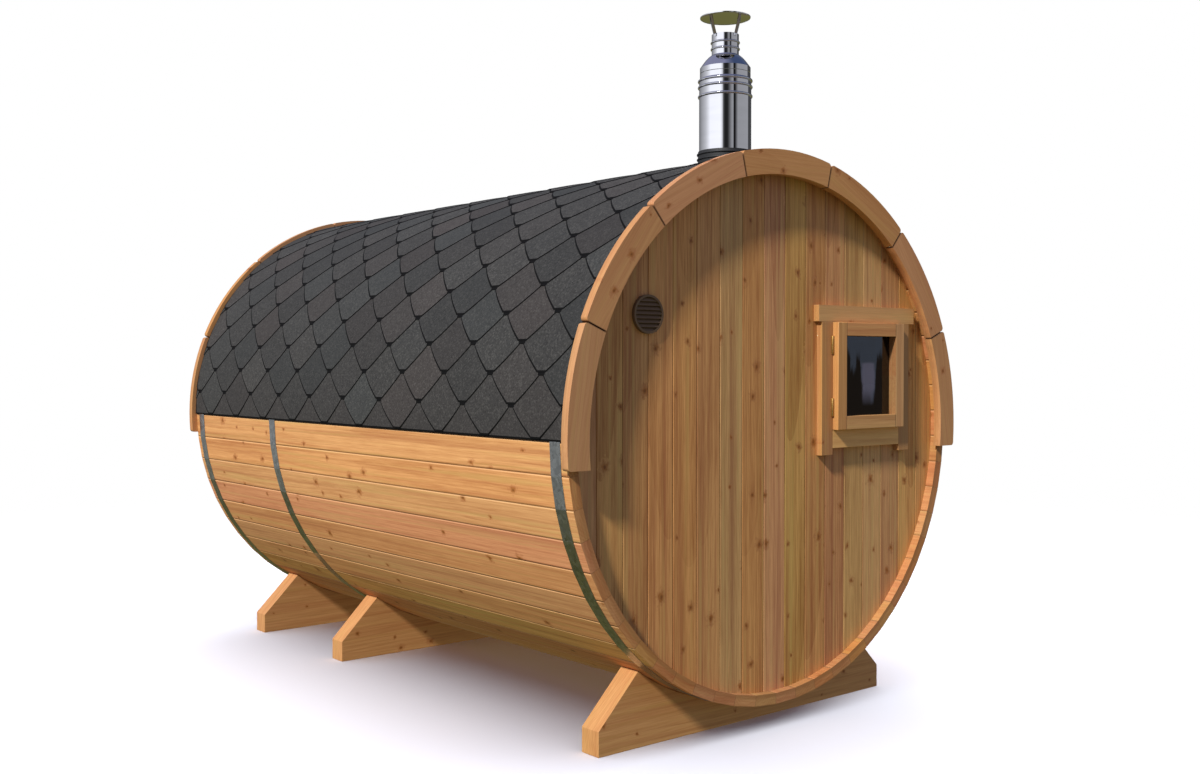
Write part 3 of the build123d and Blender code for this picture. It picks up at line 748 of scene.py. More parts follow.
def dress(nodes: Iterable[str], material: bpy.types.Material, edge_mm: float = 0.0) -> None:
    """Gives CAD nodes a finish and, where asked, eased edges.

    Args:
        nodes: The nodes' names.
        material: Their finish.
        edge_mm: Radius of the eased edges; 0 leaves them as they are.
    """
    for name in nodes:
        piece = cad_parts[name]
        for place in piece.material_slots:
            place.material = material
        if edge_mm:
            weld = piece.modifiers.new("weld", "WELD")
            weld.merge_threshold = 0.05 * MM
            bevel = piece.modifiers.new("eased_edges", "BEVEL")
            bevel.width = edge_mm * MM
            bevel.segments = 2
            bevel.limit_method = "ANGLE"
            bevel.angle_limit = math.radians(40)
            bevel.harden_normals = True
        log.info("node %s: %s", name, material.name)


def mesh_from(name: str, points: Sequence[Sequence[float]],
              faces: Sequence[Sequence[int]]) -> bpy.types.Mesh:
    """Makes a mesh with its faces turned outward.

    Args:
        name: The mesh's name.
        points: Vertex places.
        faces: Vertex numbers of each face.

    Returns:
        The mesh.
    """
    mesh = bpy.data.meshes.new(name)
    mesh.from_pydata([tuple(p) for p in points], [], [tuple(f) for f in faces])
    shape = bmesh.new()
    shape.from_mesh(mesh)
    bmesh.ops.recalc_face_normals(shape, faces=shape.faces)
    shape.to_mesh(mesh)
    shape.free()
    return mesh


def turned(name: str, outline: Sequence[Point], centre: Point, steps: int = 128) -> bpy.types.Mesh:
    """Turns a closed outline round an upright axis.

    Args:
        name: The mesh's name.
        outline: Radius and height of each point, round the section.
        centre: X and Y of the axis.
        steps: Flats round the circle.

    Returns:
        The mesh.
    """
    points: list[tuple[float, float, float]] = []
    rings: list[list[int]] = []
    for radius, height in outline:
        if radius < 1e-6:
            rings.append([len(points)] * steps)
            points.append((centre[0], centre[1], height))
            continue
        rings.append([len(points) + i for i in range(steps)])
        for i in range(steps):
            turn = math.tau * i / steps
            out = radius * math.cos(turn), radius * math.sin(turn)
            points.append((centre[0] + out[0], centre[1] + out[1], height))
    faces = []
    for low, high in zip(rings, rings[1:] + rings[:1]):
        for i in range(steps):
            j = (i + 1) % steps
            corners = list(dict.fromkeys((low[i], low[j], high[j], high[i])))
            if len(corners) > 2:
                faces.append(corners)
    return mesh_from(name, points, faces)


def boxes(name: str, corners: Iterable[tuple[Sequence[float], Sequence[float]]], edge: float = 0.0,
          segments: int = 2) -> bpy.types.Mesh:
    """Makes several square-edged bars with eased edges in one mesh.

    Args:
        name: The mesh's name.
        corners: Lowest and highest corner of each bar.
        edge: Width of the eased edges.
        segments: Steps across an eased edge.

    Returns:
        The mesh.
    """
    shape = bmesh.new()
    for low, high in corners:
        size = Vector(high) - Vector(low)
        middle = (Vector(high) + Vector(low)) / 2
        place = Matrix.Translation(middle) @ Matrix.Diagonal((*size, 1.0))
        bmesh.ops.create_cube(shape, size=1.0, matrix=place)
    if edge:
        bmesh.ops.bevel(shape, geom=shape.edges[:], offset=edge, segments=segments, affect="EDGES",
                        profile=0.5)
    mesh = bpy.data.meshes.new(name)
    shape.to_mesh(mesh)
    shape.free()
    return mesh


@dataclass
class Barrel:
    """Staves, rims, bands and cradles, which keep their CAD meshes."""

    stave_groups: int = 7
    cradle_pitch: float = 1.0   # more than a cradle's height, so that each is one plank
    rim_edge_mm: float = 3.0
    cradle_edge_mm: float = 2.0

    def dress(self) -> None:
        """Gives the nodes their finishes."""
        staves = [f"staves_{i + 1}" for i in range(self.stave_groups)] + ["staves_at_flue"]
        wood = Softwood("planed_spruce_staves", StaveLayout(), pale="#eaa869", deep="#ba723c", figure=0.8,
                        knot_mm=12.0, knot_share=0.42, tone_spread=0.2, hue_spread=0.026,
                        joint_mm=2.4, joint_shade=0.62, arris_mm=7.0, arris_bump=0.8)
        dress(staves, wood.build())
        rims = Softwood("planed_spruce_rims", RimLayout(), pale="#d69b63", deep="#a46637", figure=0.4,
                        knot_share=0.6, tone_spread=0.1, hue_spread=0.006, joint_mm=6.5, joint_shade=0.75,
                        arris_bump=0.0)
        dress(["window_end_fascia", "door_end_fascia"], rims.build(), self.rim_edge_mm)
        cradle = BoardLayout(Axis.X, Axis.Z, Axis.Y, self.cradle_pitch, jointed=False, seed=7.0)
        timber = Softwood("planed_spruce_cradles", cradle, pale="#dea86b", deep="#a96f3a", figure=0.5,
                          tone_spread=0.12, end_shade=0.0)
        cradles = ["window_end_cradle", "middle_cradle", "door_end_cradle"]
        dress(cradles, timber.build(), self.cradle_edge_mm)
        dress(["window_end_band", "middle_band", "door_end_band"], Galvanised().build())


@dataclass
class EndWalls:
    """Board walls at the two ends with the vent grille and the door."""

    wall_radius: float = 1.0167
    board_count: int = 17
    leaf_width: float = 0.634
    leaf_boards: int = 6
    door_middle: float = 1.1658
    door_clear: Point = (0.320, 0.780)      # half width and half height inside the lining
    door_reveal: Point = (0.332, 0.792)     # and inside the casings
    whole_pitch: float = 1.0                # more than a ledge or handle measures: each is one plank

    def dress(self) -> None:
        """Gives the nodes their finishes."""
        pitch = 2 * self.wall_radius / self.board_count
        layout = BoardLayout(Axis.Z, Axis.X, Axis.Y, pitch, -self.wall_radius)
        boards = Softwood("planed_spruce_wall_boards", layout, pale="#dca25f", deep="#a66b34",
                          heart="#9c5c30", sway=0.03, knot_mm=12.0, knot_share=0.66, joint_mm=1.8,
                          joint_shade=0.4, arris_mm=3.0, arris_bump=0.3, tone_spread=0.12, hue_spread=0.018)
        dress(["window_end_wall_left", "window_end_wall_right", "door_end_wall_left",
               "door_end_wall_middle", "door_end_wall_right"], boards.build())
        leaf_pitch = self.leaf_width / self.leaf_boards
        leaf = BoardLayout(Axis.Z, Axis.X, Axis.Y, leaf_pitch, -self.leaf_width / 2, seed=11.0)
        dress(["door_leaf_boards"], Softwood("planed_spruce_door_boards", leaf).build())
        casing = FrameLayout(0.0, self.door_middle, *self.door_reveal, rails_through=True, seed=50.0)
        lining = FrameLayout(0.0, self.door_middle, *self.door_clear, rails_through=True, seed=60.0)
        ledge = BoardLayout(Axis.X, Axis.Z, Axis.Y, self.whole_pitch, seed=13.0, jointed=False)
        grip = BoardLayout(Axis.Z, Axis.X, Axis.Y, self.whole_pitch, seed=17.0, jointed=False)
        for node, place, knot_share, edge_mm in (("door_casings", casing, 0.3, 2.0),
                                                 ("door_lining", lining, 0.3, 1.0),
                                                 ("door_ledges", ledge, 0.3, 2.0),
                                                 ("door_handles", grip, 0.0, 4.0)):
            wood = Softwood("planed_spruce_" + node, place, knot_share=knot_share)
            dress([node], wood.build(), edge_mm)
        # ABS, moulded: an even brown with a satin sheen along the louvres' edges.
        plastic = Speckled("moulded_brown_abs", "#6b5034", "#75593b", cloud_mm=3.0, roughness=0.6,
                           relief_mm=0.1)
        dress(["vent_grille"], plastic.build(), edge_mm=0.6)


@dataclass
class Window:
    """Casement window in the end wall: casings, sash, glazing and hinges."""

    centre: Point = (0.527, 1.3579)
    sash_half: Point = (0.213, 0.2165)
    member: float = 0.054
    casing_pitch: float = 0.5   # gives each side casing a plank of its own
    rail_pitch: float = 0.3     # gives header and apron a plank each
    bead_depth: float = 0.012
    bead_width: float = 0.0097
    sheet_edge: float = 0.0004
    bead_edge: float = 0.0003
    sash_wood: Optional[bpy.types.Material] = None

    def dress(self) -> None:
        """Gives the wooden nodes and the hinges their finishes."""
        clear = (self.sash_half[0] - self.member, self.sash_half[1] - self.member)
        sash = FrameLayout(*self.centre, *clear, rails_through=False, seed=70.0)
        plain = dict(figure=0.5, knot_share=0.2, tone_spread=0.08)
        self.sash_wood = Softwood("planed_spruce_sash", sash, **plain).build()
        dress(["window_sash"], self.sash_wood, edge_mm=1.5)
        upright = BoardLayout(Axis.Z, Axis.X, Axis.Y, self.casing_pitch, seed=23.0, jointed=False)
        casing = Softwood("planed_spruce_casings", upright, pale="#c38c59", deep="#945e32", **plain)
        dress(["window_side_casings"], casing.build(), edge_mm=2.0)
        level = BoardLayout(Axis.X, Axis.Z, Axis.Y, self.rail_pitch, seed=29.0, jointed=False)
        header = Softwood("planed_spruce_header", level, **plain)
        dress(["window_header"], header.build(), edge_mm=2.0)
        # Paler than the other trim: painted light that lifts the shade the sash casts on the apron.
        apron = Softwood("planed_spruce_apron", level, pale="#f3b875", deep="#c0804a", **plain)
        dress(["window_apron"], apron.build(), edge_mm=2.0)
        inner = FrameLayout(*self.centre, *clear, rails_through=False, seed=80.0)
        lining = Softwood("planed_spruce_window_lining", inner, knot_share=0.2)
        dress(["window_lining"], lining.build(), edge_mm=1.0)
        # Steel, pressed and brass-plated: a warm, soft glint beside the sash.
        brass = Speckled("pressed_brass_plated_steel", "#b08a4c", "#d8b26c", cloud_mm=4.0, roughness=0.45,
                         metallic=1.0)
        dress(["window_hinges", "door_hinges"], brass.build(), edge_mm=0.6)

    def build(self) -> None:
        """Makes the glazing: one sheet at the back of the rebate and a wooden bead in front of it."""
        low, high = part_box("window_pane")
        near, far = low.y, low.y + self.bead_depth
        sheet = boxes("window_glazing", [((low.x, far, low.z), high)], self.sheet_edge)
        glazing = add_piece("window_glazing", sheet, ["window_pane"], smooth_angle=None)
        glazing.data.materials.append(DarkGlass().build())
        wide = self.bead_width
        bars = [((low.x, near, low.z), (high.x, far, low.z + wide)),
                ((low.x, near, high.z - wide), (high.x, far, high.z)),
                ((low.x, near, low.z + wide), (low.x + wide, far, high.z - wide)),
                ((high.x - wide, near, low.z + wide), (high.x, far, high.z - wide))]
        bead = add_piece("window_bead", boxes("window_bead", bars, self.bead_edge))
        bead.data.materials.append(self.sash_wood)


@dataclass
class Roof:
    """Overlapping bitumen shingles with pointed tabs, ridge caps and an underlay."""

    eave_radius: float = 1.0613
    reach: float = 1.5585
    tab_pitch: float = 0.306
    row: float = 0.1147
    first_tip: float = 0.005
    even_tip: float = -0.476
    odd_tip: float = -0.6295
    tip_width: float = 0.050
    bow_share: float = 0.055    # how far a tab's sides bow out
    slit: float = 0.0012
    sheet: float = 0.0024
    lift: float = 0.0052
    lay_radius: float = 1.0579
    edge: float = 0.0070        # dark edge at the tip and on the side towards the window end: cut bitumen, widened into a painted shadow line
    far_shadow_edge: float = 0.0140    # dark edge on the side towards the door end, wider: cut bitumen with a painted shadow line, as the tab's shadow falls that way
    edge_taper: float = 0.6     # how much narrower the dark edges are where the next row begins
    edge_drop: float = 0.0012
    tip_shade: float = 0.010          # cut bitumen under a tip: painted shade where the tip overhangs
    tip_shade_lift: float = 0.62      # how high it lies, as a share of a tab's lift
    level_shares: tuple[float, ...] = (0.0, 0.17, 0.34, 0.5, 0.67, 0.83, 1.0, 1.5, 2.0)
    cap_reach: float = 0.115    # ridge cap: how far it lies down each slope
    cap_length: float = 0.230
    cap_shown: float = 0.145
    cap_radius: float = 1.0631
    cap_lift: float = 0.0030
    cap_steps: int = 8
    ridge_gap: float = 0.0004   # between the two slopes' sheets, on each side
    starter_rows: float = 1.3   # height of the starter strip, in rows
    underlay_gap: float = 0.0001
    level_step: float = 0.001   # smallest step up a tab
    least_width: float = 0.002  # a tab's levels narrower than this are left out
    least_tip_shade: float = 0.01     # and so are tip shades narrower than this
    least_cap: float = 0.02     # and ridge caps shorter than this
    flue_y: float = FLUE_Y
    flue_hole: float = 0.106
    seed: int = 57
    points: list[tuple[float, float, float]] = field(default_factory=list)
    faces: list[tuple[int, ...]] = field(default_factory=list)
    kinds: list[int] = field(default_factory=list)
    tones: list[float] = field(default_factory=list)

    def place(self, side: int, y: float, arc: float, radius: float) -> tuple[float, float, float]:
        """Point on a slope.

        Args:
            side: -1 for the left slope, 1 for the right one.
            y: Place along the barrel.
            arc: Distance up the slope from the eave.
            radius: Distance from the barrel's axis.

        Returns:
            The point in the shared frame.
        """
        turn = arc / self.eave_radius
        return side * radius * math.cos(turn), y, AXIS_Z + radius * math.sin(turn)

    def plate(self, side: int, levels: Sequence[tuple[float, float, float, float]], tone: float,
              tip_edge: bool = True) -> None:
        """Adds one closed plate of sheet with eased edges and dark strips along them: cut bitumen with a
        painted shadow line.

        Args:
            side: -1 for the left slope, 1 for the right one.
            levels: Arc, low y, high y and top radius at each level, from the tip upward.
            tone: The tab's own brightness, 0 to 1.
            tip_edge: Whether the lowest edge is eased and darkened too.
        """
        rows = list(levels)
        if tip_edge:
            arc, low, high, radius = levels[0]
            next_arc, next_low, next_high, _ = levels[1]
            share = min(self.edge / (next_arc - arc), 0.9)
            rows.insert(1, (arc + self.edge, low + (next_low - low) * share,
                            high + (next_high - high) * share, radius))
        start = len(self.points)
        columns = 4
        for number, (arc, low, high, radius) in enumerate(rows):
            lowest = tip_edge and number == 0
            for column, y in enumerate(self.columns(low, high, arc - rows[0][0])):
                rim = lowest or column in (0, columns - 1)
                self.points.append(self.place(side, y, arc, radius - (self.edge_drop if rim else 0.0)))
        floor = len(self.points)
        for arc, low, high, radius in rows:
            for y in self.columns(low, high, arc - rows[0][0]):
                self.points.append(self.place(side, y, arc, radius - self.sheet))
        count = len(rows)

        def top(i: int, j: int) -> int:
            """Vertex on the upper face."""
            return start + i * columns + j

        def under(i: int, j: int) -> int:
            """Vertex on the lower face."""
            return floor + i * columns + j

        for i in range(count - 1):
            for j in range(columns - 1):
                # Edge strips take the cut bitumen: the real cut edge, widened into a painted shadow line.
                edge_and_shadow = j != 1 or (tip_edge and i == 0)
                upper = top(i, j), top(i, j + 1), top(i + 1, j + 1), top(i + 1, j)
                lower = under(i, j), under(i + 1, j), under(i + 1, j + 1), under(i, j + 1)
                self.add_face(upper, int(edge_and_shadow), tone)
                self.add_face(lower, 1, tone)
            for j in (0, columns - 1):
                self.add_face((top(i, j), top(i + 1, j), under(i + 1, j), under(i, j)), 1, tone)
        for i in (0, count - 1):
            for j in range(columns - 1):
                self.add_face((top(i, j), top(i, j + 1), under(i, j + 1), under(i, j)), 1, tone)

    def columns(self, low: float, high: float, rise: float) -> tuple[float, float, float, float]:
        """Places across a plate: its two outlines and the inner lines of its dark edge strips.

        Args:
            low: The outline's low y.
            high: Its high y.
            rise: Distance up from the plate's tip.

        Returns:
            The four places in order.
        """
        third = (high - low) / 3
        width = 1 - self.edge_taper * min(rise / self.row, 1.0)
        return low, low + min(self.edge * width, third), high - min(self.far_shadow_edge * width, third), high

    def add_face(self, corners: Sequence[int], kind: int, tone: float) -> None:
        """Keeps a face with its finish, 0 granules and 1 cut bitumen that also paints the shadow lines, and
        its tab's tone.
        """
        self.faces.append(tuple(corners))
        self.kinds.append(kind)
        self.tones.append(tone)

    def tab(self, side: int, middle: float, tip: float, top: float, tone: float) -> None:
        """Adds one pointed tab, cut off at the barrel's ends and at the ridge.

        Args:
            side: -1 for the left slope, 1 for the right one.
            middle: Y of the tab's tip.
            tip: Arc of the tip.
            top: Arc where the slope ends at the ridge.
            tone: The tab's own brightness.
        """
        half = self.tab_pitch / 2 - self.slit / 2
        tip_half = self.tip_width / 2
        arcs = [tip + self.row * share for share in self.level_shares]
        bounds = (-self.reach, self.reach)
        for bound, sign in zip(bounds, (1, -1)):
            gap = sign * (bound - middle) - tip_half
            if 0 < gap < half - tip_half:
                arcs.append(tip + self.row * gap / (half - tip_half) + self.level_step)
        on_roof = [a for a in arcs if self.width_at(a, tip, middle, half, tip_half) is not None]
        if not on_roof:
            return
        first = min(on_roof)
        arcs = sorted(a for a in set(arcs) if first <= a < top)
        upper_end = min(top, tip + 2 * self.row)
        if arcs and arcs[-1] < upper_end - self.level_step:
            arcs.append(upper_end)
        if len(arcs) < 2:
            return
        levels = []
        for arc in arcs:
            low, high = self.width_at(arc, tip, middle, half, tip_half)
            share = (arc - tip) / (2 * self.row)
            levels.append((arc, low, high, self.lay_radius + self.lift * (1 - share)))
        self.plate(side, levels, tone)
        # A black pad of cut bitumen under each tip: painted shade where the tip overhangs.
        low, high = max(middle - tip_half, -self.reach), min(middle + tip_half, self.reach)
        if high - low > self.least_tip_shade and tip > self.tip_shade:
            radius = self.lay_radius + self.lift * self.tip_shade_lift
            tip_shade = [(tip - self.tip_shade, low, high, radius), (tip + self.edge, low, high, radius)]
            before = len(self.kinds)
            self.plate(side, tip_shade, 0.0, tip_edge=False)
            self.kinds[before:] = [1] * (len(self.kinds) - before)

    def width_at(self, arc: float, tip: float, middle: float, half: float,
                 tip_half: float) -> Optional[Point]:
        """Low and high y of a tab at an arc, inside the barrel's ends.

        Args:
            arc: Distance up the slope.
            tip: Arc of the tab's tip.
            middle: Y of the tip.
            half: Half the tab's width.
            tip_half: Half the tip's width.

        Returns:
            The two places, or None where the tab is off the roof.
        """
        share = min((arc - tip) / self.row, 1.0)
        share += self.bow_share * math.sin(math.pi * share)
        spread = tip_half + (half - tip_half) * share
        low, high = max(middle - spread, -self.reach), min(middle + spread, self.reach)
        return (low, high) if high - low > self.least_width else None

    def slope(self, side: int) -> None:
        """Lays the underlay, the starter strip and the rows of tabs on one slope.

        Args:
            side: -1 for the left slope, 1 for the right one.
        """
        rng = random.Random(self.seed + side)
        top = self.eave_radius * math.pi / 2 - self.ridge_gap
        steps = 30
        under = self.lay_radius - self.sheet - self.underlay_gap
        underlay = [(top * i / steps, -self.reach, self.reach, under) for i in range(steps + 1)]
        self.plate(side, underlay, 0.0, tip_edge=False)
        starter = [(self.row * self.starter_rows * i / 4, -self.reach, self.reach,
                    self.lay_radius + self.lift * (0.3 - 0.05 * i)) for i in range(5)]
        self.plate(side, starter, 0.4)
        rows = int((top - self.first_tip) / self.row) + 1
        for number in range(rows):
            tip = self.first_tip + number * self.row
            middle = self.odd_tip if number % 2 else self.even_tip
            first = math.ceil((-self.reach - self.tab_pitch / 2 - middle) / self.tab_pitch)
            last = math.floor((self.reach + self.tab_pitch / 2 - middle) / self.tab_pitch)
            for step in range(first, last + 1):
                self.tab(side, middle + step * self.tab_pitch, tip, top, rng.random())

    def ridge(self) -> None:
        """Lays overlapping caps along the ridge."""
        rng = random.Random(self.seed)
        steps = self.cap_steps
        y = -self.reach
        while y < self.reach - self.least_cap:
            end = min(y + self.cap_length, self.reach)
            tone = rng.random()
            start = len(self.points)
            ends = [y, y + self.edge, end]
            lifts = [self.cap_lift, self.cap_lift, self.cap_lift * (1 - (end - y) / self.cap_length)]
            for floor in (0.0, self.sheet):
                for place, lift in zip(ends, lifts):
                    for i in range(steps + 1):
                        turn = (i / steps * 2 - 1) * self.cap_reach / self.eave_radius
                        rim = floor == 0.0 and (i in (0, steps) or place == y)
                        radius = self.cap_radius + lift - floor - (self.edge_drop if rim else 0.0)
                        height = AXIS_Z + radius * math.cos(turn)
                        self.points.append((radius * math.sin(turn), place, height))
            wide, count = steps + 1, len(ends)
            base = start + wide * count
            for i in range(count - 1):
                for j in range(steps):
                    cell = (i * wide + j, i * wide + j + 1, (i + 1) * wide + j + 1, (i + 1) * wide + j)
                    # Each cap's lower end gets a dark strip of cut bitumen: a painted shadow line.
                    self.add_face([start + c for c in cell], int(i == 0), tone)
                    self.add_face([base + c for c in reversed(cell)], 1, tone)
                for j in (0, steps):
                    a, b = i * wide + j, (i + 1) * wide + j
                    self.add_face((start + a, start + b, base + b, base + a), 1, tone)
            for i in (0, count - 1):
                for j in range(steps):
                    a, b = i * wide + j, i * wide + j + 1
                    self.add_face((start + a, start + b, base + b, base + a), 1, tone)
            y += self.cap_shown

    def take(self, name: str) -> bpy.types.Mesh:
        """Turns what has been laid so far into a mesh and starts afresh.

        Args:
            name: The mesh's name.

        Returns:
            The mesh, with the hole for the flue cut out.
        """
        mesh = mesh_from(name, self.points, self.faces)
        mesh.polygons.foreach_set("material_index", self.kinds)
        tone = mesh.attributes.new("tab_tone", "FLOAT", "FACE")
        tone.data.foreach_set("value", self.tones)
        self.points, self.faces, self.kinds, self.tones = [], [], [], []
        return self.cut_flue(mesh)

    def cut_flue(self, mesh: bpy.types.Mesh) -> bpy.types.Mesh:
        """Cuts the hole for the flue through the plates that it meets.

        Args:
            mesh: The laid plates.

        Returns:
            The same plates with the hole.
        """
        shape = bmesh.new()
        shape.from_mesh(mesh)
        hole = Vector((0.0, self.flue_y))
        sides = 48
        # Only faces round the hole are cut, so that the other tabs keep theirs whole.
        around, reach = 0.4, self.flue_hole + 0.26
        for i in range(sides):
            turn = math.tau * (i + 0.5) / sides
            out = Vector((math.cos(turn), math.sin(turn), 0.0))
            edge = Vector((0.0, self.flue_y, 0.0)) + out * self.flue_hole
            near = [f for f in shape.faces if f.calc_center_median().z > AXIS_Z
                    and (f.calc_center_median().xy - hole).length < around]
            near = [f for f in near if min((v.co.xy - hole).length for v in f.verts) < reach]
            geometry = near + list({e for f in near for e in f.edges})
            geometry += list({v for f in near for v in f.verts})
            bmesh.ops.bisect_plane(shape, geom=geometry, plane_co=edge, plane_no=out)
        inside = [f for f in shape.faces
                  if f.calc_center_median().z > AXIS_Z
                  and (f.calc_center_median().xy - hole).length < self.flue_hole * 0.998]
        bmesh.ops.delete(shape, geom=inside, context="FACES")
        shape.to_mesh(mesh)
        shape.free()
        return mesh

    def build(self) -> None:
        """Makes the two slopes and the ridge."""
        granules = Shingle().build()
        # Cut bitumen, near black and dull: the tabs' cut edges, widened into painted shadow lines round
        # each tab, and the painted shade under each tip.
        bitumen = Speckled("cut_bitumen_and_painted_shadow", "#060606", "#0c0b0b", cloud_mm=5.0, roughness=0.85,
                           shine=0.12).build()
        slopes = ((-1, "shingles_left", "roof_left_slope"), (1, "shingles_right", "roof_right_slope"))
        for side, name, node in slopes:
            self.slope(side)
            piece = add_piece(name, self.take(name), [node], None)
            piece.data.materials.append(granules)
            piece.data.materials.append(bitumen)
        self.ridge()
        caps = add_piece("ridge_caps", self.take("ridge_caps"), (), None)
        caps.data.materials.append(granules)
        caps.data.materials.append(bitumen)


@dataclass
class Flue:
    """Stainless double-wall flue with rolled ribs, a rain cap and a rubber boot."""

    y: float = FLUE_Y
    foot: float = 2.1139
    crown: float = 2.2072
    radius: float = 0.1045
    bore: float = 0.0625
    upper_step: float = 0.003
    shoulder: float = 2.5932
    seam_drop: float = 0.022
    seam: float = 0.0012
    shoulder_rise: float = 0.052
    neck: float = 0.0545
    neck_wall: float = 0.003
    neck_rise: float = 0.082
    rib: float = 0.0055
    ribs: tuple[float, ...] = (0.272, 0.309, 0.334)
    neck_rib: float = 0.0045
    neck_ribs: tuple[float, ...] = (0.024, 0.050)
    cap: float = 0.101
    cap_stand: float = 0.068
    cap_rise: float = 0.024
    sheet: float = 0.0025
    hem: float = 0.001
    strut_width: float = 0.011
    strut_lap: float = 0.012
    strut_spread: float = 0.024
    strut_bend: Point = (0.001, 0.006)  # how far a strut's bends run sideways and upward
    strut_gap: float = 0.001            # left under the cap
    boot_height: float = 0.052
    boot_wall: float = 0.0045
    boot_ribs: tuple[float, ...] = (0.020, 0.040)
    boot_lip: float = 0.001
    collar_drop: float = 0.005
    skirt_drop: float = 0.004
    skirt_least: float = 0.002
    skirt_gap: float = 0.0008           # left above the roof covering
    seat: float = 0.0003                # clearance between seated pieces

    def bead(self, radius: float, height: float, size: float, steps: int = 8) -> list[Point]:
        """Outline of a rolled rib.

        Args:
            radius: Radius of the pipe.
            height: Height of the rib's middle.
            size: How far it stands out, and half its height.
            steps: Points on the round.

        Returns:
            The points from its foot to its top.
        """
        turns = [math.pi * (i / steps - 0.5) for i in range(steps + 1)]
        return [(radius + size * math.cos(t), height + size * math.sin(t)) for t in turns]

    def build(self) -> None:
        """Makes the flue's pieces."""
        steel = PolishedSteel().build()
        centre = (0.0, self.y)
        outline: list[Point] = [(self.bore, self.foot), (self.radius, self.foot)]
        for height in self.ribs:
            outline += self.bead(self.radius, self.crown + height, self.rib)
        last = self.crown + max(self.ribs) + self.rib
        upper = self.radius - self.upper_step
        seam = self.shoulder - self.seam_drop
        outline += [(upper, last + self.upper_step), (upper, seam - self.seam), (upper - self.seam, seam),
                    (upper, seam + self.seam), (upper, self.shoulder), (self.bore, self.shoulder)]
        mesh = turned("flue_pipe", outline, centre)
        pipe = add_piece("flue_pipe", mesh, ["chimney_pipe"])

        base = self.shoulder + self.seat
        neck_foot = self.shoulder + self.shoulder_rise
        mouth = neck_foot + self.neck_rise
        outline = [(self.neck - self.neck_wall, base), (upper, base)]
        # A chamfer at the shoulder's rim, then a slightly swelling cone up to the neck.
        steps = 10
        rim_in, rim_up, swelling = 0.12, 0.15, 0.10
        run = upper - self.neck
        for i in range(steps + 1):
            share = i / steps
            swell = share + swelling * math.sin(math.pi * share)
            outline.append((upper - run * (rim_in + (1 - rim_in) * share),
                            base + self.shoulder_rise * (rim_up + (1 - rim_up) * swell)))
        for height in self.neck_ribs:
            outline += self.bead(self.neck, neck_foot + height, self.neck_rib)
        outline += [(self.neck, mouth), (self.neck - self.neck_wall, mouth)]
        mesh = turned("flue_neck", outline, centre)
        neck = add_piece("flue_neck", mesh, ["chimney_neck"])

        rim = mouth + self.cap_stand
        brim = self.cap - self.sheet
        outline = [(0.0, rim + self.cap_rise), (0.0, rim + self.cap_rise - self.sheet), (brim, rim),
                   (brim, rim - self.hem), (self.cap, rim - self.hem), (self.cap, rim + self.sheet)]
        mesh = turned("rain_cap", outline, centre)
        cap = add_piece("rain_cap", mesh, ["chimney_cap"])
        struts = add_piece("rain_cap_struts", self.strut_mesh(mouth, rim))

        inner = self.radius + self.seat
        outer = inner + self.boot_wall
        collar_foot = self.crown - self.collar_drop
        outline = [(inner, collar_foot), (outer, collar_foot)]
        for height in self.boot_ribs:
            outline += self.bead(outer, self.crown + height, self.boot_wall)
        collar_top = self.crown + self.boot_height
        outline += [(outer - self.boot_lip, collar_top), (inner, collar_top)]
        collar = turned("flue_boot", outline, centre)
        skirt = self.skirt_mesh(inner, outer)
        boot = add_piece("flue_boot", collar, ["chimney_boot"])
        foot = add_piece("flue_boot_skirt", skirt)
        # EPDM rubber, moulded: black, with a soft sheen that shows the ribs.
        rubber = Speckled("moulded_epdm_rubber", "#141414", "#222222", cloud_mm=6.0, roughness=0.6).build()
        for piece in (pipe, neck, cap, struts):
            piece.data.materials.append(steel)
        for piece in (boot, foot):
            piece.data.materials.append(rubber)

    def strut_mesh(self, mouth: float, rim: float) -> bpy.types.Mesh:
        """Four bent strips from the neck up to the cap.

        Args:
            mouth: Height of the neck's mouth.
            rim: Height of the cap's rim.

        Returns:
            The mesh.
        """
        foot = self.neck + self.seat
        head = foot + self.strut_spread
        under = (self.cap_rise - self.sheet) * (1 - head / (self.cap - self.sheet))
        top = rim + under - self.strut_gap
        out, up = self.strut_bend
        line = [(foot, mouth - self.strut_lap), (foot, mouth - up), (foot + out, mouth),
                (head - out, top - up), (head, top)]
        shift = Vector((0.0, self.y, 0.0))
        points: list[Vector] = []
        faces: list[tuple[int, ...]] = []
        for turn in range(4):
            spin = Matrix.Rotation(turn * math.pi / 2, 4, "Z")
            start = len(points)
            for reach, height in line:
                for out, side in ((0, -1), (self.sheet, -1), (self.sheet, 1), (0, 1)):
                    points.append(spin @ Vector((reach + out, side * self.strut_width / 2, height)) + shift)
            for i in range(len(line) - 1):
                low, high = start + i * 4, start + i * 4 + 4
                for j in range(4):
                    k = (j + 1) % 4
                    faces.append((low + j, low + k, high + k, high + j))
            faces.append(tuple(start + j for j in range(4)))
            faces.append(tuple(start + (len(line) - 1) * 4 + j for j in range(4)))
        return mesh_from("rain_cap_struts", points, faces)

    def skirt_mesh(self, inner: float, outer: float) -> bpy.types.Mesh:
        """Lower part of the boot, which follows the roof down on both sides.

        Args:
            inner: The boot's inner radius.
            outer: Its outer radius at the collar.

        Returns:
            The mesh.
        """
        steps = 128
        roof = self.crown - AXIS_Z + self.skirt_gap
        high = self.crown - self.skirt_drop
        points: list[tuple[float, float, float]] = []
        for i in range(steps):
            turn = math.tau * i / steps
            for radius, up in ((inner, 0.0), (outer, 0.0), (outer, 1.0), (inner, 1.0)):
                x = radius * math.cos(turn)
                low = AXIS_Z + math.sqrt(roof * roof - x * x)
                height = max(high, low + self.skirt_least) if up else low
                points.append((x, self.y + radius * math.sin(turn), height))
        faces = []
        for i in range(steps):
            j = (i + 1) % steps
            for k in range(4):
                n = (k + 1) % 4
                faces.append((i * 4 + k, j * 4 + k, j * 4 + n, i * 4 + n))
        return mesh_from("flue_boot_skirt", points, faces)


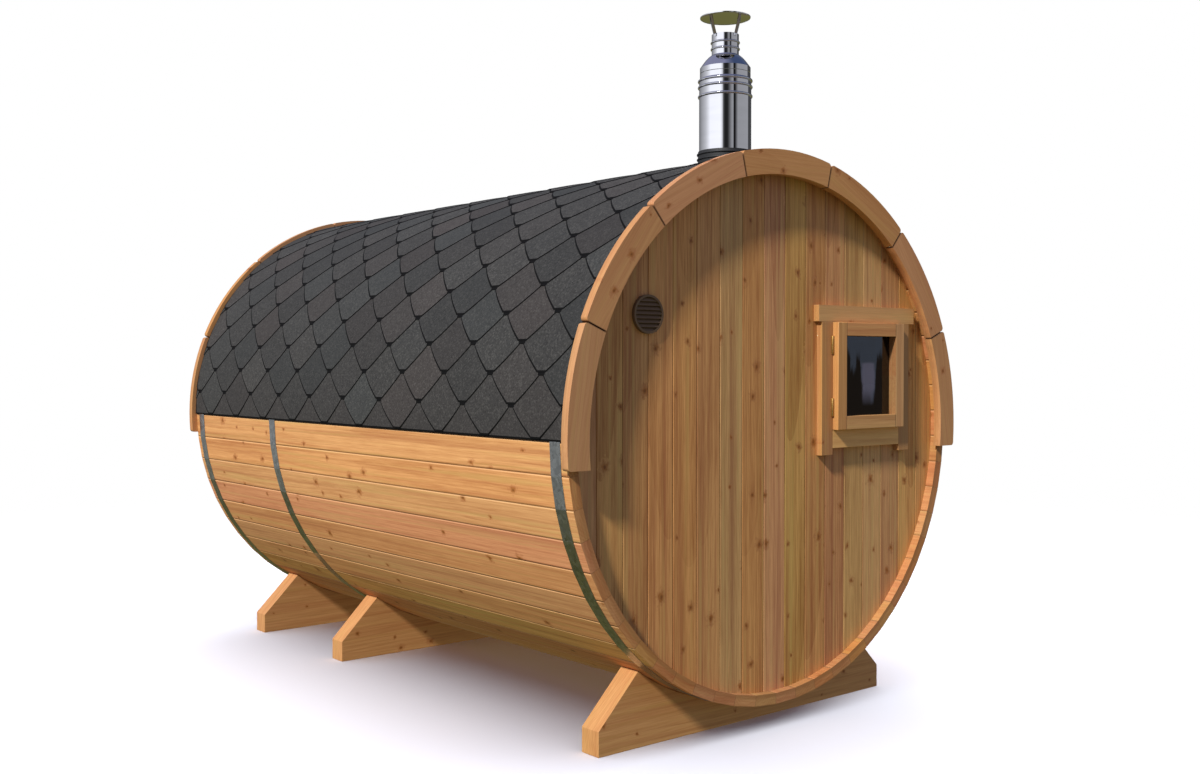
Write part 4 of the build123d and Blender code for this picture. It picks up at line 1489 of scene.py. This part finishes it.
@dataclass
class Studio:
    """Pale floor, soft light and the camera."""

    eye: tuple[float, float, float] = (-3.6532, -4.8553, 1.4115)
    tilt: float = 90 - 1.102
    turn: float = -39.776
    lens: float = 37.907
    sensor: float = 36.0
    sun_from: tuple[float, float, float] = (-0.757, -0.205, 0.62)
    sun_strength: float = 4.05
    sun_angle: float = 4.5
    fill_from: tuple[float, float, float] = (0.70, 0.69, 0.18)
    fill_strength: float = 2.4
    fill_angle: float = 50.0
    top_strength: float = 4.0
    top_angle: float = 100.0
    floor_radius: float = 9.0
    floor_fade: Point = (3.0, 8.0)      # the floor fades out between these distances
    floor_colour: str = "#f7f6f4"
    sky_light: Shade = (0.23, 0.28, 0.50)
    ground_light: Shade = (0.24, 0.25, 0.15)
    panels: tuple[Point, ...] = (
        (0, 0.07), (43, 0.07), (60, 0.16), (77, 0.24), (100, 0.42), (117, 0.55), (131, 0.70),
        (143, 0.95), (155, 1.25), (203, 1.3), (211, 0.95), (217, 0.09), (224, 0.02), (235, 0.02),
        (241, 0.08), (247, 0.20), (256, 0.38), (261, 0.34), (263, 0.01), (269, 0.01), (274, 0.12),
        (283, 0.38), (344, 0.40), (348, 0.07))
    """Bearing in degrees and brightness of the light and dark panels that the flue mirrors."""
    panel_tint: Shade = (0.98, 1.0, 1.06)
    sky: tuple[tuple[float, Shade], ...] = (
        (0, (0.06, 0.09, 0.19)), (30, (0.11, 0.14, 0.23)), (48, (0.20, 0.22, 0.29)),
        (70, (0.27, 0.28, 0.42)), (200, (0.28, 0.29, 0.45)), (290, (0.16, 0.18, 0.30)),
        (325, (0.06, 0.09, 0.19)))
    """Bearing and colour of the sky higher up, which the flue's shoulder mirrors."""
    haze: Shade = (0.44, 0.51, 0.66)
    trees: Shade = (0.13, 0.10, 0.08)
    house: Shade = (1.0, 0.96, 1.3)
    house_bearing: float = 321.75
    house_width: float = 0.65           # degrees
    ground: Shade = (0.17, 0.17, 0.15)
    grass: Shade = (0.165, 0.16, 0.055)
    grass_bearing: float = 72.0
    grass_reach: Point = (63.0, 72.0)   # degrees to either side that lie fully in it, and where it ends
    paving: Shade = (0.66, 0.68, 0.70)
    paving_bearing: float = 120.0
    paving_reach: Point = (7.2, 12.24)

    def build(self) -> None:
        """Sets up camera, floor, lights and world."""
        bpy.context.scene.view_settings.view_transform = "Standard"
        self.camera()
        floor = self.floor()
        self.lights(floor)
        self.world()

    def camera(self) -> None:
        """Puts the camera where the photograph was taken from."""
        data = bpy.data.cameras.new("camera")
        data.lens = self.lens
        data.sensor_width = self.sensor
        data.sensor_fit = "HORIZONTAL"
        camera = bpy.data.objects.new("camera", data)
        camera.location = self.eye
        camera.rotation_euler = (math.radians(self.tilt), 0.0, math.radians(self.turn))
        bpy.context.scene.collection.objects.link(camera)
        bpy.context.scene.camera = camera

    def floor(self) -> bpy.types.Object:
        """Lays a pale floor that fades into the backdrop.

        Returns:
            The floor.
        """
        shape = bmesh.new()
        bmesh.ops.create_circle(shape, cap_ends=True, segments=96, radius=self.floor_radius)
        mesh = bpy.data.meshes.new("floor")
        shape.to_mesh(mesh)
        shape.free()
        floor = bpy.data.objects.new("floor", mesh)
        bpy.context.scene.collection.objects.link(floor)
        # Paper, matt white: it shows nothing but the soft shadow.
        material, g = new_material("matt_white_paper")
        place = g.add("TexCoord", out="Object")
        away = g.add("VectorMath", place, operation="LENGTH", out=1)
        fade = g.add("MapRange", away, *self.floor_fade, **SMOOTH)
        matt = g.add("BsdfDiffuse", linear(self.floor_colour))
        clear = g.add("BsdfTransparent")
        g.add("OutputMaterial", g.add("MixShader", fade, matt, clear))
        mesh.materials.append(material)
        # The floor throws no light up: the world's lower half stands for the ground's light.
        floor.visible_diffuse = False
        floor.visible_glossy = False
        return floor

    def lights(self, floor: bpy.types.Object) -> None:
        """Adds the key light, a soft fill for the far side and a soft top light for the floor.

        Args:
            floor: The floor, which only the top light reaches.
        """
        only_floor = bpy.data.collections.new("only_floor")
        only_floor.objects.link(floor)
        not_floor = bpy.data.collections.new("not_floor")
        not_floor.objects.link(floor)
        not_floor.collection_objects[0].light_linking.link_state = "EXCLUDE"
        lamps = (("key", self.sun_from, self.sun_strength, self.sun_angle, not_floor, True),
                 ("fill", self.fill_from, self.fill_strength, self.fill_angle, not_floor, False),
                 ("top", (0.0, 0.0, 1.0), self.top_strength, self.top_angle, only_floor, False))
        for name, origin, strength, angle, receivers, mirrored in lamps:
            light = bpy.data.lights.new(name, "SUN")
            light.energy = strength
            light.angle = math.radians(angle)
            lamp = bpy.data.objects.new(name, light)
            lamp.rotation_euler = Vector(origin).to_track_quat("Z", "Y").to_euler()
            bpy.context.scene.collection.objects.link(lamp)
            lamp.light_linking.receiver_collection = receivers
            lamp.visible_glossy = mirrored

    def world(self) -> None:
        """Sets a white backdrop, soft light from sky and ground, and what bright metal and glass mirror."""
        world = bpy.data.worlds.new("studio")
        bpy.context.scene.world = world
        world.use_nodes = True
        g = Graph(world.node_tree)
        ray = g.add("LightPath").node.outputs
        xyz = g.add("SeparateXYZ", g.add("TexCoord", out="Generated")).node.outputs
        up = g.add("MapRange", xyz[2], -0.25, 0.25, **SMOOTH)
        below, above = (*self.ground_light, 1.0), (*self.sky_light, 1.0)
        soft = g.add("Mix", named={0: up, 6: below, 7: above}, **COLOUR)
        light = g.add("Mix", named={0: ray["Is Glossy Ray"], 6: soft, 7: self.mirrored(g, xyz)}, **COLOUR)
        white = (1.0, 1.0, 1.0, 1.0)
        colour = g.add("Mix", named={0: ray["Is Camera Ray"], 6: light, 7: white}, **COLOUR)
        g.add("OutputWorld", g.add("Background", colour, 1.0))

    def mirrored(self, g: Graph, xyz: Sequence[bpy.types.NodeSocket]) -> bpy.types.NodeSocket:
        """What bright metal and glass mirror: panels, sky, skyline and ground.

        Args:
            g: The world's graph.
            xyz: The parts of a ray's direction.

        Returns:
            The colour in that direction.
        """
        turn = g.add("Math", xyz[1], xyz[0], operation="ARCTAN2")
        turn = g.add("Math", turn, 1 / math.tau, 1.0, operation="MULTIPLY_ADD")
        turn = g.add("Math", turn, operation="FRACT")
        greys = [(degrees, tuple(shade * part for part in self.panel_tint))
                 for degrees, shade in self.panels]
        ramps = []
        for stops in (greys, self.sky):
            ramps.append(g.add("ValToRGB", turn))
            elements = ramps[-1].node.color_ramp.elements
            while len(elements) < len(stops):
                elements.new(1.0)
            for stop, (degrees, shade) in zip(elements, stops):
                stop.position = degrees / 360
                stop.color = (*shade, 1.0)
        panels, sky = ramps

        # Dark trees stand along the skyline, with a pale house front in a gap across from the window.
        half = self.house_width / 2
        gap = self.sector(g, turn, self.house_bearing, half * 0.8, half * 1.2)
        degrees = g.add("Math", turn, 360.0, operation="MULTIPLY")
        uneven = g.add("TexNoise", named={"W": degrees, "Scale": 2.2, "Detail": 3.0}, noise_dimensions="1D")
        skyline = g.add("Math", uneven, -0.06, 0.023, operation="MULTIPLY_ADD")
        skyline = g.add("Math", gap, 0.03, skyline, operation="MULTIPLY_ADD")
        height = g.add("Math", xyz[2], skyline, operation="ADD")
        clear = g.add("MapRange", height, 0.03, 0.09, **SMOOTH)
        seen = g.add("Mix", named={0: clear, 6: (*self.haze, 1.0), 7: panels}, **COLOUR)
        above = g.add("MapRange", xyz[2], 0.35, 0.6, **SMOOTH)
        seen = g.add("Mix", named={0: above, 6: seen, 7: sky}, **COLOUR)
        over = g.add("MapRange", height, -0.004, 0.004, **SMOOTH)
        seen = g.add("Mix", named={0: over, 6: (*self.trees, 1.0), 7: seen}, **COLOUR)
        front = self.sector(g, turn, self.house_bearing, half * 0.6, half)
        foot = g.add("MapRange", xyz[2], -0.033, -0.020)
        eave = g.add("MapRange", xyz[2], -0.001, 0.001, 1.0, 0.0)
        front = g.add("Math", front, foot, operation="MULTIPLY")
        front = g.add("Math", front, eave, operation="MULTIPLY")
        seen = g.add("Mix", named={0: front, 6: seen, 7: (*self.house, 1.0)}, **COLOUR)

        # Grass lies beyond the sauna and on its left; it shows under the rain cap and low on the bands.
        grass = self.sector(g, turn, self.grass_bearing, *self.grass_reach)
        ground = g.add("Mix", named={0: grass, 6: (*self.ground, 1.0), 7: (*self.grass, 1.0)}, **COLOUR)
        low = g.add("MapRange", xyz[2], -0.20, -0.05, **SMOOTH)
        seen = g.add("Mix", named={0: low, 6: ground, 7: seen}, **COLOUR)
        # Pale paving lies in the grass to the left, and the bands mirror it under the eave.
        paved = self.sector(g, turn, self.paving_bearing, *self.paving_reach)
        near = g.add("MapRange", xyz[2], -0.42, -0.26, **SMOOTH)
        level = g.add("MapRange", xyz[2], 0.0, 0.06, 1.0, 0.0)
        paved = g.add("Math", paved, near, operation="MULTIPLY")
        paved = g.add("Math", paved, level, operation="MULTIPLY")
        return g.add("Mix", named={0: paved, 6: seen, 7: (*self.paving, 1.0)}, **COLOUR)

    def sector(self, g: Graph, turn: Value, bearing: float, inner: float,
               outer: float) -> bpy.types.NodeSocket:
        """How far a direction lies in a sector of the horizon.

        Args:
            g: The world's graph.
            turn: The direction's bearing, as a share of a full turn.
            bearing: The sector's middle, in degrees.
            inner: Degrees to either side that lie fully in it.
            outer: Degrees to either side where it ends.

        Returns:
            A share from 0 to 1.
        """
        aside = g.add("Math", turn, bearing / 360, operation="SUBTRACT")
        aside = g.add("Math", aside, operation="ABSOLUTE")
        return g.add("MapRange", aside, inner / 360, outer / 360, 1.0, 0.0, **SMOOTH)


def main() -> None:
    """Builds the sauna's looks and the studio."""
    logging.basicConfig(level=logging.INFO, format="%(name)s: %(message)s")
    Barrel().dress()
    EndWalls().dress()
    window = Window()
    window.dress()
    window.build()
    Roof().build()
    Flue().build()
    Studio().build()


if __name__ == "__main__":
    main()
